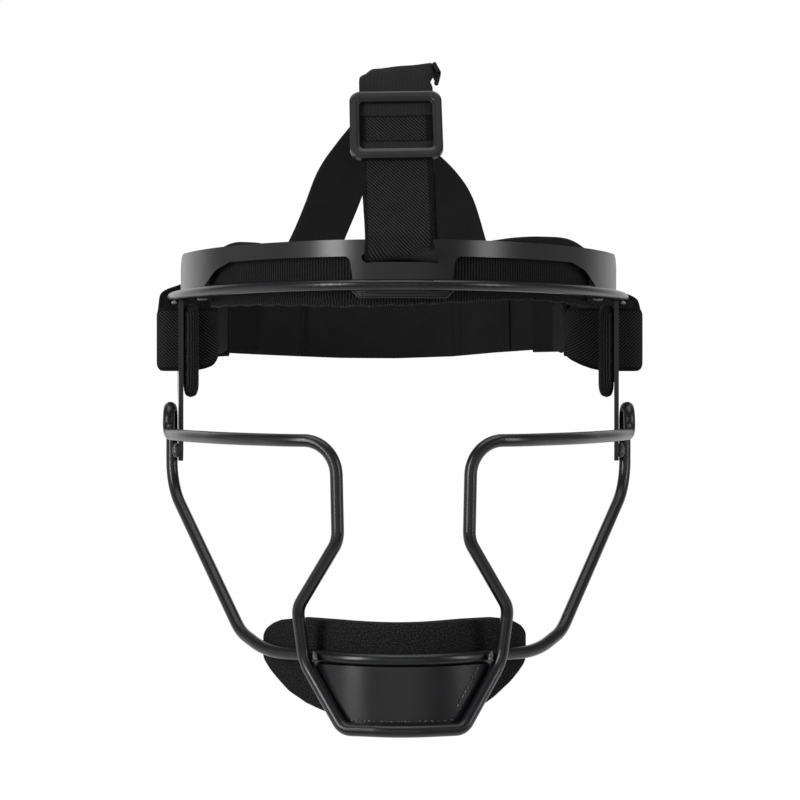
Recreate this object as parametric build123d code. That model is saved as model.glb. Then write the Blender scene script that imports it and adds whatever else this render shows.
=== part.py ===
from build123d import *
from math import acos, cos, degrees, radians, sin, sqrt, tan
import os

# Frame of the part: X to the wearer's left as seen from in front, Y towards the back of the
# head, Z up. The origin is the middle of the head at the height of the brow bar's centre line.
# Depths run back from the front of the brow bar's centre line.
brow_to_head_centre = 105.0
overrun = 20.0                # how far cutting shapes reach past what they cut
bend_share = 0.45             # of the shorter run that an open bend takes up
weld_gap = 0.05               # between pieces that a weld holds together
soft_gap = 0.3                # between a pad and the strip that holds it

# Brow bar and the ellipse that bar, plate and forehead pad follow
brow_bar_diameter = 4.0
brow_half_width = 98.0
brow_reach = 148.0

# Brow plate
sheet_thickness = 1.5
plate_top = 17.2
plate_bottom = -1.8
plate_depth = 101.0
bar_overhang = 16.0           # that the bar reaches back past the plate
plate_corner_radius = 7.0
tab_half_width = 19.4
tab_foot_half_width = 16.5
tab_foot = -4.7
emboss_length = 31.5
emboss_height = 2.1
emboss_centre = -3.2
emboss_depth = 0.4
window_foot = 1.0
window_head = 10.9
window_inner = 18.6
window_inner_head = 20.2
window_outer_head = 67.5
window_outer = 80.0
window_shoulder_share = 0.72
window_corner_radius = 2.4
strap_slot_foot = 8.6
strap_slot_head = 12.0
strap_slot_spare = 0.9        # at each side of the strap

# Side struts
strut_thickness = 1.9
strut_lap = 9.0               # that a strut reaches ahead of the plate's end
strut_width = 12.0
strut_inset = 1.66            # from the bar's centre line in to the strut's inner face
strut_flare = 5.7             # degrees that the strip opens towards the back
strut_foot = -68.5
strut_foot_chamfer = 4.0
strut_wide = 26.0
strut_wide_foot = -38.0
strut_corner_radius = 3.0
strut_end_radius = 1.0
side_slot_width = 4.5
side_slot_head = -3.6
side_slot_foot = -33.0

# Bent wires
wire_diameter = 4.8
cheek_height = -58.4
cheek_rise = 1.2              # of the cheek bars' outer ends
nose_half_gap = 25.1
nose_reach = 12.5             # ahead of the brow bar
nose_bend_radius = 13.0
upright_foot_half_gap = 24.3
upright_foot = -95.3
flare_half_gap = 39.6
flare_depth = 3.0
upright_lean = 2.5            # that the uprights still draw in from the flare to the crossbar
flare_height = -121.6
upright_bend_radius = 9.0
chin_side_bend_radius = 14.0
bottom_bar_height = -166.0
bottom_bar_half_width = 22.5
bottom_bar_clearance = 0.8    # its straight runs pass nearer to the round plate than its corners
bottom_corner_radius = 6.0
arch_clearance = 0.7          # between an arch and the strut that it rounds
arch_lead = 5.0               # of the front leg ahead of the strut
arch_trail = 10.5             # of the rear leg behind the strut's front
arch_rise = 12.0
arch_bend_radius = 6.0
cheek_turn_lead = 3.0
jaw_knee_height = -79.2
jaw_knee_radius = 22.0
jaw_bend_half_width = 62.8
jaw_bend_depth = 40.0
jaw_bend_height = -134.0
jaw_bend_radius = 26.0
jaw_turn_half_width = 52.0
jaw_turn_height = -140.0
chin_front = -6.0             # depth of the crossbar's centre line
chin_radius = 44.0
chin_turn = 39.4              # degrees from square ahead to the jaw line
crossbar_height = -140.2

# Chin plate
chin_plate_radius = 45.2
chin_plate_head_half_width = 34.0
chin_plate_foot_half_width = 23.0
chin_plate_corner_radius = 2.0

# Pads
cover_thickness = 1.2
hook_thickness = 1.2
forehead_pad_thickness = 11.0
forehead_pad_top = 17.4
forehead_pad_foot = -7.8
forehead_pad_depth = 68.0
forehead_hook_height = 4.4
forehead_hook_half_width = 62.0
temple_pad_thickness = 5.6
temple_pad_width = 12.0
temple_pad_top = -3.2
temple_pad_foot = -42.6
temple_hook_length = 26.0
temple_hook_width = 8.0
chin_pad_thickness = 12.0
chin_pad_side_run = 31.0      # straight length past the chin's round part
chin_pad_top = -126.8
chin_pad_foot = -163.2
chin_pad_half_width = 51.0
chin_loop_thickness = 2.0
chin_strip_half_width = 20.0
chin_strip_top = -146.5
chin_strip_foot = -160.0

# Straps
strap_width = 26.4
strap_thickness = 1.6
crown_rise = 70.0             # of the front run
crown_lean = 24.6             # degrees from upright
crown_bend_radius = 18.0
crown_return_length = 28.5
crown_front_foot = 18.5
crown_fold_radius = 2.45
crown_fold_clearance = 0.4    # above the slot's foot
crown_shift = -1.4            # of the strap's foot off the middle plane
crown_tilt = -1.1             # degrees that the front run leans sideways
slider_width = 35.5
slider_height = 29.5
slider_bar = 3.7
slider_frame_thickness = 2.2
slider_corner_radius = 4.2
slider_place = 46.8           # along the front run
slider_clearance = 0.2
slider_middle_bar = 4.0
slider_middle_thickness = 1.8
end_loop_thickness = 1.2
end_loop_margin = 1.6         # that the sewn end is narrower at each side
end_loop_tail = 18.0
end_loop_back = 4.0
back_half_width = 96.0
back_reach = 93.0
back_height = 87.0            # of the surface that the fork lies on
fork_width = 25.0
fork_gap = 1.8                # from the fork's middle surface in to the rear strap's outer face
fork_drop = 4.6               # of the lower fork strap's top under the upper one's
fork_shift = -4.0
fork_foot_height = 10.0       # below this the fork straps hang straight down
rear_strap_top = 14.0
rear_strap_foot = -24.0
rear_strap_end_share = 0.59   # of the back's reach
side_loop_bulge = 11.0        # outside the strut's outer face
side_loop_tuck = 14.0         # inside the strut's inner face
side_loop_bend_radius = 10.0
side_loop_shoulder_share = 0.42   # of the way from the slot to the rear strap
side_loop_tail_gap = 8.0      # that the inner layer ends ahead of the rear strap
side_loop_top = -4.2
side_loop_foot = -31.5
side_loop_rise_lead = 5.75    # behind the slot's middle
hook_tab_length = 20.6
hook_tab_height = 30.0
hook_tab_thickness = 1.6
hook_tab_share = 0.75         # of the rear strap's half width, out to the middle of the tab
hook_tab_gap = 1.0            # off the rear strap, which curves towards the tab's ends
hook_tab_foot = -22.0

bead_radius = 1.2
plate_bead_radius = 0.8
plate_bead_share = 0.82       # of the bar's half width, out from the middle plane
crossing_bead_lead = 0.6      # the upright's bend passes inside its corner
strut_bead_height = -64.0


def back(depth):
    """Y of a depth that is measured back from the front of the brow bar."""
    return depth - brow_to_head_centre


def bar_half_width(depth):
    """X of the brow bar's centre line at a depth."""
    return brow_half_width * sqrt(1 - (1 - depth / brow_reach) ** 2)


def strut_front():
    """Depth of the struts' front edge."""
    return plate_depth - strut_lap


def strut_face():
    """X of a strut's inner face at its front edge."""
    return bar_half_width(strut_front()) - strut_inset


def arch_half_width():
    """X of the arches' centre line: it passes outside the flared strut."""
    flared = (arch_trail - arch_lead) * tan(radians(strut_flare))
    return strut_face() + strut_thickness + flared + wire_diameter / 2 + arch_clearance


def arch_front():
    return strut_front() - arch_lead


def arch_back():
    return strut_front() + arch_trail


def both_sides(solid):
    """The piece and its mirror image across the middle plane."""
    return solid, mirror(solid, about=Plane.YZ)


def turn_between(before, corner, after):
    """Angle in degrees by which a route turns at its corner."""
    return (Vector(corner) - Vector(before)).get_angle(Vector(after) - Vector(corner))


def bent_path(points, radii):
    """Straight runs joined by tangent arcs. A radius of None is as large as its runs allow."""
    fitted = []
    for before, corner, after, radius in zip(points, points[1:], points[2:], radii):
        if radius is None:
            run = min((Vector(corner) - Vector(before)).length, (Vector(after) - Vector(corner)).length)
            radius = bend_share * run / tan(radians(turn_between(before, corner, after) / 2))
        fitted.append(radius)
    return FilletPolyline(*points, radius=fitted)


def bent_wire(points, radii, diameter):
    """Round wire along a bent path."""
    path = bent_path(points, radii)
    return sweep(Plane(origin=path @ 0, z_dir=path % 0) * Circle(diameter / 2), path=path)


def mirrored_route(half):
    """A route and its mirror image, joined where it meets the middle plane."""
    return half + [(-x, y, z) for x, y, z in reversed(half) if x]


def brow_ring(inset, thickness, depth):
    """Plan of a band that follows the brow ellipse, inset from the bar's centre line."""
    outer = Ellipse(brow_half_width - inset, brow_reach - inset)
    inner = Ellipse(brow_half_width - inset - thickness, brow_reach - inset - thickness)
    room = Pos(0, back(depth) - brow_reach) * Rectangle(4 * brow_half_width, 2 * brow_reach)
    return (Pos(0, back(brow_reach)) * (outer - inner)) & room


def upright_band(plan, foot, top):
    """A plan outline raised between two heights."""
    return extrude(Pos(0, 0, foot) * plan, amount=top - foot)


def through(outline):
    """An outline drawn as seen from in front, carried through the whole part."""
    return extrude(Plane.XZ * outline, amount=2 * brow_reach, both=True)


def from_side(outline):
    """An outline of Y and Z, carried through the whole part from side to side."""
    return extrude(Plane.YZ * outline, amount=2 * brow_half_width, both=True)


# Frame

def brow_bar():
    sweep_angle = degrees(acos(1 - (plate_depth + bar_overhang) / brow_reach))
    arc = EllipticalCenterArc(
        (0, back(brow_reach)), brow_half_width, brow_reach, 270 - sweep_angle, arc_size=2 * sweep_angle
    )
    radius = brow_bar_diameter / 2
    bar = sweep(Plane(origin=arc @ 0, z_dir=arc % 0) * Circle(radius), path=arc)
    return bar + Pos(arc @ 0) * Sphere(radius) + Pos(arc @ 1) * Sphere(radius)


def window_outline():
    shoulder = window_foot + window_shoulder_share * (window_head - window_foot)
    points = [
        (window_inner, window_foot - overrun),
        (window_inner, window_foot),
        (window_inner_head, window_head),
        (window_outer_head, window_head),
        ((window_outer_head + window_outer) / 2, shoulder),
        (window_outer, window_foot),
        (window_outer, window_foot - overrun),
    ]
    outline = make_face(Polyline(*points, close=True))
    outline = fillet(outline.vertices().filter_by(lambda v: v.Y > window_foot), window_corner_radius)
    return outline - Pos(0, window_foot - 2 * overrun) * Rectangle(4 * brow_half_width, 4 * overrun)


def brow_plate():
    inset = brow_bar_diameter / 2 + weld_gap
    plan = brow_ring(inset, sheet_thickness, plate_depth)
    band = upright_band(plan, plate_bottom, plate_top)
    corner = make_face(
        FilletPolyline(
            (back(-overrun), plate_bottom - overrun),
            (back(plate_depth), plate_bottom - overrun),
            (back(plate_depth), plate_top),
            (back(-overrun), plate_top),
            radius=(0, 0, plate_corner_radius, 0),
            close=True,
        )
    )
    band = band & from_side(corner)
    tab = make_face(
        Polyline(
            (-tab_half_width, plate_bottom),
            (-tab_foot_half_width, tab_foot),
            (tab_foot_half_width, tab_foot),
            (tab_half_width, plate_bottom),
            close=True,
        )
    )
    band = band + (upright_band(plan, tab_foot, plate_bottom) & through(tab))
    skin = upright_band(brow_ring(inset, emboss_depth, plate_depth), tab_foot, plate_top)
    emboss = Pos(0, emboss_centre) * SlotOverall(emboss_length, emboss_height)
    slot_centre = (strap_slot_foot + strap_slot_head) / 2
    slot = Pos(crown_shift, slot_centre) * SlotOverall(
        strap_width + 2 * strap_slot_spare, strap_slot_head - strap_slot_foot
    )
    windows = both_sides(through(window_outline()))
    return band - (skin & through(emboss)) - through(slot) - windows[0] - windows[1]


def on_strut(solid):
    """Stand a piece drawn on the strut's inner face at the flare of the strut."""
    hinge = Axis((strut_face(), back(strut_front()), 0), (0, 0, 1))
    return solid.rotate(hinge, -strut_flare)


def strut_slab(outline, face, thickness):
    """A side outline given thickness, outwards from a distance off the strut's inner face."""
    return on_strut(extrude(Plane.YZ.offset(strut_face() + face) * outline, amount=thickness))


def side_strut():
    top = -brow_bar_diameter / 2 - weld_gap
    front = back(strut_front())
    outline = make_face(
        FilletPolyline(
            (front, top),
            (front + strut_wide, top),
            (front + strut_wide, strut_wide_foot),
            (front + strut_width, strut_wide_foot - (strut_wide - strut_width) / 2),
            (front + strut_width, strut_foot),
            (front + strut_foot_chamfer, strut_foot),
            (front, strut_foot + strut_foot_chamfer),
            radius=(0, strut_corner_radius, strut_corner_radius, strut_corner_radius, strut_end_radius, 0, 0),
            close=True,
        )
    )
    slot = Pos(
        front + strut_width + side_slot_width / 2, (side_slot_head + side_slot_foot) / 2
    ) * SlotOverall(side_slot_head - side_slot_foot, side_slot_width, rotation=90)
    return strut_slab(outline - slot, 0, strut_thickness)


def face_wire():
    cheek_route_shares = ((0.91, 0.70), (0.71, 0.323), (0.466, 0.075))
    cheek_length = arch_front() + nose_reach
    half = [
        (arch_half_width(), back((arch_front() + arch_back()) / 2), cheek_height + arch_rise),
        (arch_half_width(), back(arch_front()), cheek_height + arch_rise),
        (arch_half_width(), back(arch_front() - cheek_turn_lead), cheek_height + cheek_rise),
    ]
    for side_share, depth_share in cheek_route_shares:
        depth = depth_share * cheek_length - nose_reach
        half.append((side_share * arch_half_width(), back(depth), cheek_height + depth_share * cheek_rise))
    half += [
        (nose_half_gap, back(-nose_reach), cheek_height),
        (upright_foot_half_gap, back(-nose_reach), upright_foot),
        (flare_half_gap, back(flare_depth), flare_height),
        chin_side_point(),
        (bottom_bar_half_width, bottom_bar_end(), bottom_bar_height),
        (0, bottom_bar_front(), bottom_bar_height),
    ]
    bends = [arch_bend_radius, arch_bend_radius, None, None, None, nose_bend_radius]
    bends += [upright_bend_radius, upright_bend_radius, chin_side_bend_radius, bottom_corner_radius]
    return bent_wire(mirrored_route(half), bends + [None] + bends[::-1], wire_diameter)


def chin_centre():
    """Y of the centre of the chin's round part."""
    return back(chin_front + chin_radius)


def chin_side_point():
    """Where an upright passes in front of the crossbar, a wire's width ahead of it."""
    turn = radians(chin_turn)
    reach = chin_radius + wire_diameter + weld_gap
    run = (flare_half_gap - upright_lean - reach * sin(turn)) / cos(turn)
    x = reach * sin(turn) + run * cos(turn)
    y = chin_centre() - reach * cos(turn) + run * sin(turn)
    return (x, y, crossbar_height - wire_diameter / 3)


def bottom_bar_radius():
    return chin_plate_radius + (sheet_thickness + wire_diameter) / 2 + bottom_bar_clearance


def bottom_bar_end():
    return chin_centre() - sqrt(bottom_bar_radius() ** 2 - bottom_bar_half_width**2)


def bottom_bar_front():
    """The bar's middle corner stands ahead, because its arc passes inside the corner."""
    lead_share = 1.3
    rise = bottom_bar_end() - (chin_centre() - bottom_bar_radius())
    return bottom_bar_end() - lead_share * rise


def jaw_wire():
    turn = radians(chin_turn)
    corner = chin_radius * tan(turn / 2)
    front = back(chin_front)
    jaw_turn = front + (jaw_turn_half_width - corner) * tan(turn)
    half = [
        (arch_half_width(), back((arch_front() + arch_back()) / 2), cheek_height + arch_rise),
        (arch_half_width(), back(arch_back()), cheek_height + arch_rise),
        (arch_half_width(), back(arch_back()), jaw_knee_height),
        (jaw_bend_half_width, back(jaw_bend_depth), jaw_bend_height),
        (jaw_turn_half_width, jaw_turn, jaw_turn_height),
        (corner + weld_gap, front, crossbar_height),
    ]
    bends = [arch_bend_radius, jaw_knee_radius, jaw_bend_radius, None, chin_radius]
    return bent_wire(mirrored_route(half), bends + bends[::-1], wire_diameter)


def chin_ring(radius, thickness):
    """Plan of a round band about the chin's centre, given by its outer radius."""
    return Pos(0, chin_centre()) * (Circle(radius) - Circle(radius - thickness))


def chin_plate():
    radius = chin_plate_radius + sheet_thickness / 2
    top = crossbar_height - wire_diameter / 2 - weld_gap
    foot = bottom_bar_height
    shape = make_face(
        FilletPolyline(
            (-chin_plate_head_half_width, top),
            (-chin_plate_foot_half_width, foot),
            (chin_plate_foot_half_width, foot),
            (chin_plate_head_half_width, top),
            radius=chin_plate_corner_radius,
            close=True,
        )
    )
    band = upright_band(chin_ring(radius, sheet_thickness), foot - overrun, top + overrun)
    front_half = Pos(0, chin_centre() - 2 * radius) * Box(4 * radius, 4 * radius, 4 * brow_reach)
    return band & through(shape) & front_half


# Pads

def forehead_pad():
    inset = brow_bar_diameter / 2 + weld_gap + sheet_thickness + hook_thickness + soft_gap
    outer = upright_band(
        brow_ring(inset, forehead_pad_thickness, forehead_pad_depth), forehead_pad_foot, forehead_pad_top
    )
    foam = upright_band(
        brow_ring(inset, forehead_pad_thickness - cover_thickness, forehead_pad_depth - cover_thickness),
        forehead_pad_foot + cover_thickness,
        forehead_pad_top - cover_thickness,
    )
    notch = strap_notch()
    outer = outer - notch
    foam = foam - notch
    return outer - foam, foam


def strap_notch():
    """Room in the forehead pad for the strap's return layer behind the plate."""
    rear = brow_bar_diameter / 2 + 2 * crown_fold_radius + soft_gap
    half_width = strap_width / 2 + strap_slot_spare
    foot = strap_slot_foot - soft_gap
    return Pos(crown_shift, back(rear) - overrun, foot + overrun) * Box(
        2 * half_width, 2 * overrun, 2 * overrun
    )


def forehead_hook_strips():
    inset = brow_bar_diameter / 2 + weld_gap + sheet_thickness
    band = brow_ring(inset, hook_thickness, forehead_pad_depth)
    strip = upright_band(band, window_head + soft_gap, window_head + soft_gap + forehead_hook_height)
    slot_room = strap_width / 2 + abs(crown_shift) + 2 * strap_slot_spare
    one_side = Pos((slot_room + forehead_hook_half_width) / 2, back(0)) * Box(
        forehead_hook_half_width - slot_room, 2 * forehead_pad_depth, 4 * brow_reach
    )
    return Compound(children=list(both_sides(strip & one_side)))


def temple_pad():
    length = temple_pad_top - temple_pad_foot
    centre = Pos(back(strut_front()) + strut_width / 2, (temple_pad_top + temple_pad_foot) / 2)
    face = -hook_thickness - soft_gap
    outer = strut_slab(
        centre * SlotOverall(length, temple_pad_width, rotation=90), face, -temple_pad_thickness
    )
    foam = strut_slab(
        centre
        * SlotOverall(length - 2 * cover_thickness, temple_pad_width - 2 * cover_thickness, rotation=90),
        face,
        cover_thickness - temple_pad_thickness,
    )
    return outer - foam, foam


def temple_hook_strip():
    centre = Pos(back(strut_front()) + strut_width / 2, (temple_pad_top + temple_pad_foot) / 2)
    return strut_slab(centre * Rectangle(temple_hook_width, temple_hook_length), 0, -hook_thickness)


def chin_edge(inset):
    """Corners of one face of the chin pad's plan, inset from the crossbar's centre line."""
    turn = radians(chin_turn)
    corner = (chin_radius - inset) * tan(turn / 2)
    run = corner + chin_pad_side_run
    front = back(chin_front + inset)
    half = [(corner + run * cos(turn), front + run * sin(turn)), (corner, front)]
    return half + [(-x, y) for x, y in reversed(half)]


def chin_band(inset, thickness):
    """Plan of a band that follows the crossbar's inner side."""
    front = FilletPolyline(*chin_edge(inset), radius=chin_radius - inset - weld_gap)
    rear_radius = chin_radius - inset - thickness - weld_gap
    rear = FilletPolyline(*chin_edge(inset + thickness), radius=rear_radius)
    return make_face([front, rear, Line(front @ 0, rear @ 0), Line(front @ 1, rear @ 1)])


def chin_pad_outline(inset):
    """The pad's front outline: rounded ends, and a foot that narrows towards the bottom bar."""
    top = chin_pad_top - inset
    foot = chin_pad_foot + inset
    half = chin_pad_half_width - inset
    foot_half_share = 0.55
    shoulder_share = 0.42
    end_radius_share = 0.24
    shoulder = top + shoulder_share * (foot - top)
    return make_face(
        FilletPolyline(
            (-half, top),
            (-half, shoulder),
            (-foot_half_share * half, foot),
            (foot_half_share * half, foot),
            (half, shoulder),
            (half, top),
            radius=end_radius_share * (top - foot),
            close=True,
        )
    )


def chin_pad():
    inset = chin_plate_inset() + hook_thickness + soft_gap + chin_loop_thickness + 2 * weld_gap
    outer = upright_band(chin_band(inset, chin_pad_thickness), chin_pad_foot, chin_pad_top)
    outer = outer & through(chin_pad_outline(0))
    foam = upright_band(chin_band(inset, chin_pad_thickness - cover_thickness), chin_pad_foot, chin_pad_top)
    foam = foam & through(chin_pad_outline(cover_thickness))
    return outer - foam, foam


def chin_plate_inset():
    """From the crossbar's centre line in to the plate's rear face."""
    return chin_radius - (chin_plate_radius - sheet_thickness / 2)


def chin_strip(inset, thickness):
    """A flat strip on the chin's round part, between two heights."""
    band = upright_band(chin_ring(chin_radius - inset, thickness), chin_strip_foot, chin_strip_top)
    room = Pos(0, back(chin_front)) * Box(2 * chin_strip_half_width, 2 * chin_radius, 4 * brow_reach)
    return band & room


# Straps

def crown_direction():
    lean = radians(crown_lean)
    return Vector(tan(radians(crown_tilt)), sin(lean), cos(lean)).normalized()


def crown_normal():
    """Out of the front run, towards the viewer."""
    lean = radians(crown_lean)
    return Vector(0, -cos(lean), sin(lean))


def crown_foot():
    """Where the front run starts, just above the plate."""
    depth = brow_bar_diameter / 2 - strap_thickness / 2 - weld_gap
    return Vector(crown_shift, back(depth), crown_front_foot)


def ribbon(path, width, thickness, across):
    """A flat strap along a path, its width lying along the given direction."""
    section = Plane(origin=path @ 0, x_dir=across, z_dir=path % 0) * Rectangle(width, thickness)
    return sweep(section, path=path)


def crown_strap():
    crown_route_shares = ((0.70, 1.275), (1.06, 1.315), (1.33, 1.245), (1.50, 1.10))
    foot = crown_foot()
    fold = 2 * crown_fold_radius
    fold_height = strap_slot_foot + crown_fold_clearance + strap_thickness / 2
    rear_foot = foot + Vector(0, fold, -fold * tan(radians(crown_lean / 2)))
    points = [
        rear_foot + crown_direction() * crown_return_length,
        rear_foot,
        Vector(foot.X, rear_foot.Y, fold_height),
        Vector(foot.X, foot.Y, fold_height),
        foot,
        foot + crown_direction() * (crown_rise / cos(radians(crown_lean))),
    ]
    for depth_share, height_share in crown_route_shares:
        depth = depth_share * brow_to_head_centre
        points.append(Vector(points[-1].X, back(depth), height_share * crown_rise))
    fold_bend = crown_fold_radius - weld_gap
    radii = [fold, fold_bend, fold_bend, fold, crown_bend_radius, None, None, None]
    return ribbon(bent_path(points, radii), strap_width, strap_thickness, (1, 0, 0))


def slider_plane():
    centre = crown_foot() + crown_direction() * slider_place
    return Plane(origin=centre, x_dir=crown_direction().cross(crown_normal()), z_dir=crown_normal())


def slider():
    front = strap_thickness / 2 + slider_clearance
    rear = front + end_loop_thickness + 2 * slider_clearance
    rear_face = rear + slider_middle_thickness
    outline = RectangleRounded(slider_width, slider_height, slider_corner_radius)
    opening = RectangleRounded(
        slider_width - 2 * slider_bar, slider_height - 2.4 * slider_bar, slider_corner_radius / 3
    )
    frame = extrude(Pos(0, 0, front) * (outline - opening), amount=slider_frame_thickness)
    rail_room = Rectangle(slider_width - 2 * slider_bar, slider_height * 2)
    rails = extrude(Pos(0, 0, -rear_face) * (outline - rail_room), amount=rear_face + front)
    middle = Pos(0, 0, -rear_face) * Rectangle(slider_width - 2 * weld_gap, slider_middle_bar)
    body = frame + rails + extrude(middle, amount=slider_middle_thickness)
    top_edges = body.faces().sort_by(Axis.Z)[-1].edges()
    body = fillet(top_edges, slider_frame_thickness / 4)
    return slider_plane() * body


def strap_end_loop():
    """The strap's sewn end: it rounds the slider's middle bar and runs down behind the strap."""
    half = end_loop_thickness / 2
    front = strap_thickness / 2 + slider_clearance * 2 + half
    bar_rear = strap_thickness / 2 + 3 * slider_clearance + end_loop_thickness + slider_middle_thickness
    rear = bar_rear + slider_clearance + half
    top = slider_middle_bar / 2 + slider_clearance + half
    plane = slider_plane()
    points = [
        plane.from_local_coords(Vector(0, -end_loop_back, -rear)),
        plane.from_local_coords(Vector(0, top, -rear)),
        plane.from_local_coords(Vector(0, top, -front)),
        plane.from_local_coords(Vector(0, -end_loop_tail, -front)),
    ]
    path = FilletPolyline(*points, radius=end_loop_thickness)
    return ribbon(path, strap_width - 2 * end_loop_margin, end_loop_thickness, (1, 0, 0))


def back_surface(x, z, drop):
    """A point of the rounded surface at the back of the head, upright below its foot height."""
    rise = max(0.0, z - fork_foot_height) / (back_height - fork_foot_height - drop)
    return Vector(x, back_reach * sqrt(1 - (x / back_half_width) ** 2 - rise**2), z)


def surface_normal(x, z, drop):
    step = strap_thickness / 100
    across = back_surface(x + step, z, drop) - back_surface(x - step, z, drop)
    up = back_surface(x, z + step, drop) - back_surface(x, z - step, drop)
    return up.cross(across).normalized()


def fork_strap(route_shares, side, drop):
    """A flat strap through sections that lie on the back surface, its top lowered by a drop."""
    places = [
        (side * x_share * back_half_width + fork_shift, z_share * back_height)
        for x_share, z_share in route_shares
    ]
    middles = [back_surface(x, z, drop) for x, z in places]
    sections = []
    for number, (x, z) in enumerate(places):
        before = middles[max(number - 1, 0)]
        after = middles[min(number + 1, len(places) - 1)]
        along = (after - before).normalized()
        across = along.cross(surface_normal(x, z, drop)).normalized()
        plane = Plane(origin=middles[number], x_dir=across, z_dir=along)
        sections.append(plane * Rectangle(fork_width, strap_thickness))
    room = upright_band(Rectangle(4 * back_half_width, 4 * back_reach), rear_strap_foot, 2 * back_height)
    return loft(sections) & room


def fork_strap_left():
    fork_shares = (
        (0.03, 0.88), (0.12, 0.775), (0.20, 0.655), (0.264, 0.49),
        (0.333, 0.315), (0.43, 0.11), (0.47, -0.16), (0.49, -0.36),
    )
    return fork_strap(fork_shares, -1, 0)


def fork_strap_right():
    fork_shares = (
        (0.04, 0.755), (0.11, 0.70), (0.20, 0.61), (0.27, 0.515),
        (0.34, 0.315), (0.405, 0.10), (0.445, -0.16), (0.47, -0.36),
    )
    return fork_strap(fork_shares, 1, fork_drop)


def rear_strap():
    outer = Ellipse(back_half_width - fork_gap, back_reach - fork_gap)
    inner = Ellipse(
        back_half_width - fork_gap - strap_thickness, back_reach - fork_gap - strap_thickness
    )
    room = Pos(0, rear_strap_end()[1] + 2 * back_reach) * Rectangle(4 * back_half_width, 4 * back_reach)
    return upright_band((outer - inner) & room, rear_strap_foot, rear_strap_top)


def rear_strap_end():
    """The plan point where the rear strap ends and a side strap starts."""
    y = rear_strap_end_share * back_reach
    inset = fork_gap + strap_thickness / 2
    x = (back_half_width - inset) * sqrt(1 - (y / (back_reach - inset)) ** 2)
    return x, y


def side_strap():
    slot_y = back(strut_front() + strut_width + side_slot_width / 2)
    outer = strut_face() + strut_thickness + side_loop_bulge
    inner = strut_face() - side_loop_tuck
    end_x, end_y = rear_strap_end()
    points = [
        (end_x - strap_thickness, end_y + strap_thickness),
        (outer, slot_y + side_loop_shoulder_share * (end_y - slot_y)),
        (outer, slot_y),
        (inner, slot_y),
        (inner, end_y - side_loop_tail_gap),
    ]
    path = bent_path(points, [side_loop_bend_radius * 2, side_loop_bend_radius, side_loop_bend_radius])
    band = ribbon(path, 4 * (rear_strap_top - rear_strap_foot), strap_thickness, (0, 0, 1))
    front = back(strut_front())
    outline = make_face(
        Polyline(
            (front, side_loop_top),
            (slot_y + side_loop_rise_lead, side_loop_top),
            (end_y - weld_gap, rear_strap_top),
            (end_y - weld_gap, rear_strap_foot),
            (front, side_loop_foot),
            close=True,
        )
    )
    return band & from_side(outline)


def hook_tab():
    """The fastening end of a side strap, lying along the inside of the rear strap."""
    half_width = back_half_width - fork_gap - strap_thickness
    reach = back_reach - fork_gap - strap_thickness
    x = hook_tab_share * half_width
    y = reach * sqrt(1 - (x / half_width) ** 2)
    outward = Vector(x / half_width**2, y / reach**2, 0).normalized()
    middle = Vector(x, y, hook_tab_foot + hook_tab_height / 2)
    middle = middle - outward * (hook_tab_gap + hook_tab_thickness / 2)
    lying = Plane(origin=middle, x_dir=outward, z_dir=(0, 0, 1))
    return lying * Box(hook_tab_thickness, hook_tab_length, hook_tab_height)


# Welds

def chin_bead():
    """Place of the bead in the corner where an upright crosses the crossbar."""
    turn = radians(chin_turn)
    reach = wire_diameter / 2 + bead_radius + weld_gap
    along = sqrt(reach**2 - (wire_diameter + weld_gap - reach) ** 2) + crossing_bead_lead
    x, y, _ = chin_side_point()
    inward = wire_diameter + weld_gap - reach
    x -= inward * sin(turn) + along * cos(turn)
    y += inward * cos(turn) - along * sin(turn)
    return x, y, crossbar_height


def strut_bead():
    """Place of the bead between a strut's outer face and an arch's rear leg."""
    flare = radians(strut_flare)
    reach = wire_diameter / 2 + bead_radius + weld_gap
    y = back(arch_back()) - reach
    x = strut_face() + strut_thickness / cos(flare) + (y - back(strut_front())) * tan(flare)
    return x + bead_radius + weld_gap, y, strut_bead_height


def bar_bead():
    """Place of the bead under the brow bar, against a strut's outer face."""
    flare = radians(strut_flare)
    y = back(strut_front() + strut_width / 2)
    x = strut_face() + strut_thickness / cos(flare) + strut_width / 2 * tan(flare)
    return x + bead_radius + weld_gap, y, -brow_bar_diameter / 2 - bead_radius - weld_gap


def plate_bead():
    """Place of the bead under the brow bar, against the plate."""
    inset = brow_bar_diameter / 2 - plate_bead_radius
    x = (brow_half_width - inset) * plate_bead_share
    y = back(brow_reach) - (brow_reach - inset) * sqrt(1 - plate_bead_share**2)
    return x, y, -brow_bar_diameter / 2 - plate_bead_radius


def weld_beads():
    """Small beads of weld in the corners where frame pieces meet."""
    beads = []
    for place in (chin_bead(), strut_bead(), bar_bead()):
        beads += both_sides(Pos(*place) * Sphere(bead_radius))
    beads += both_sides(Pos(*plate_bead()) * Sphere(plate_bead_radius))
    return Compound(children=beads)


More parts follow.
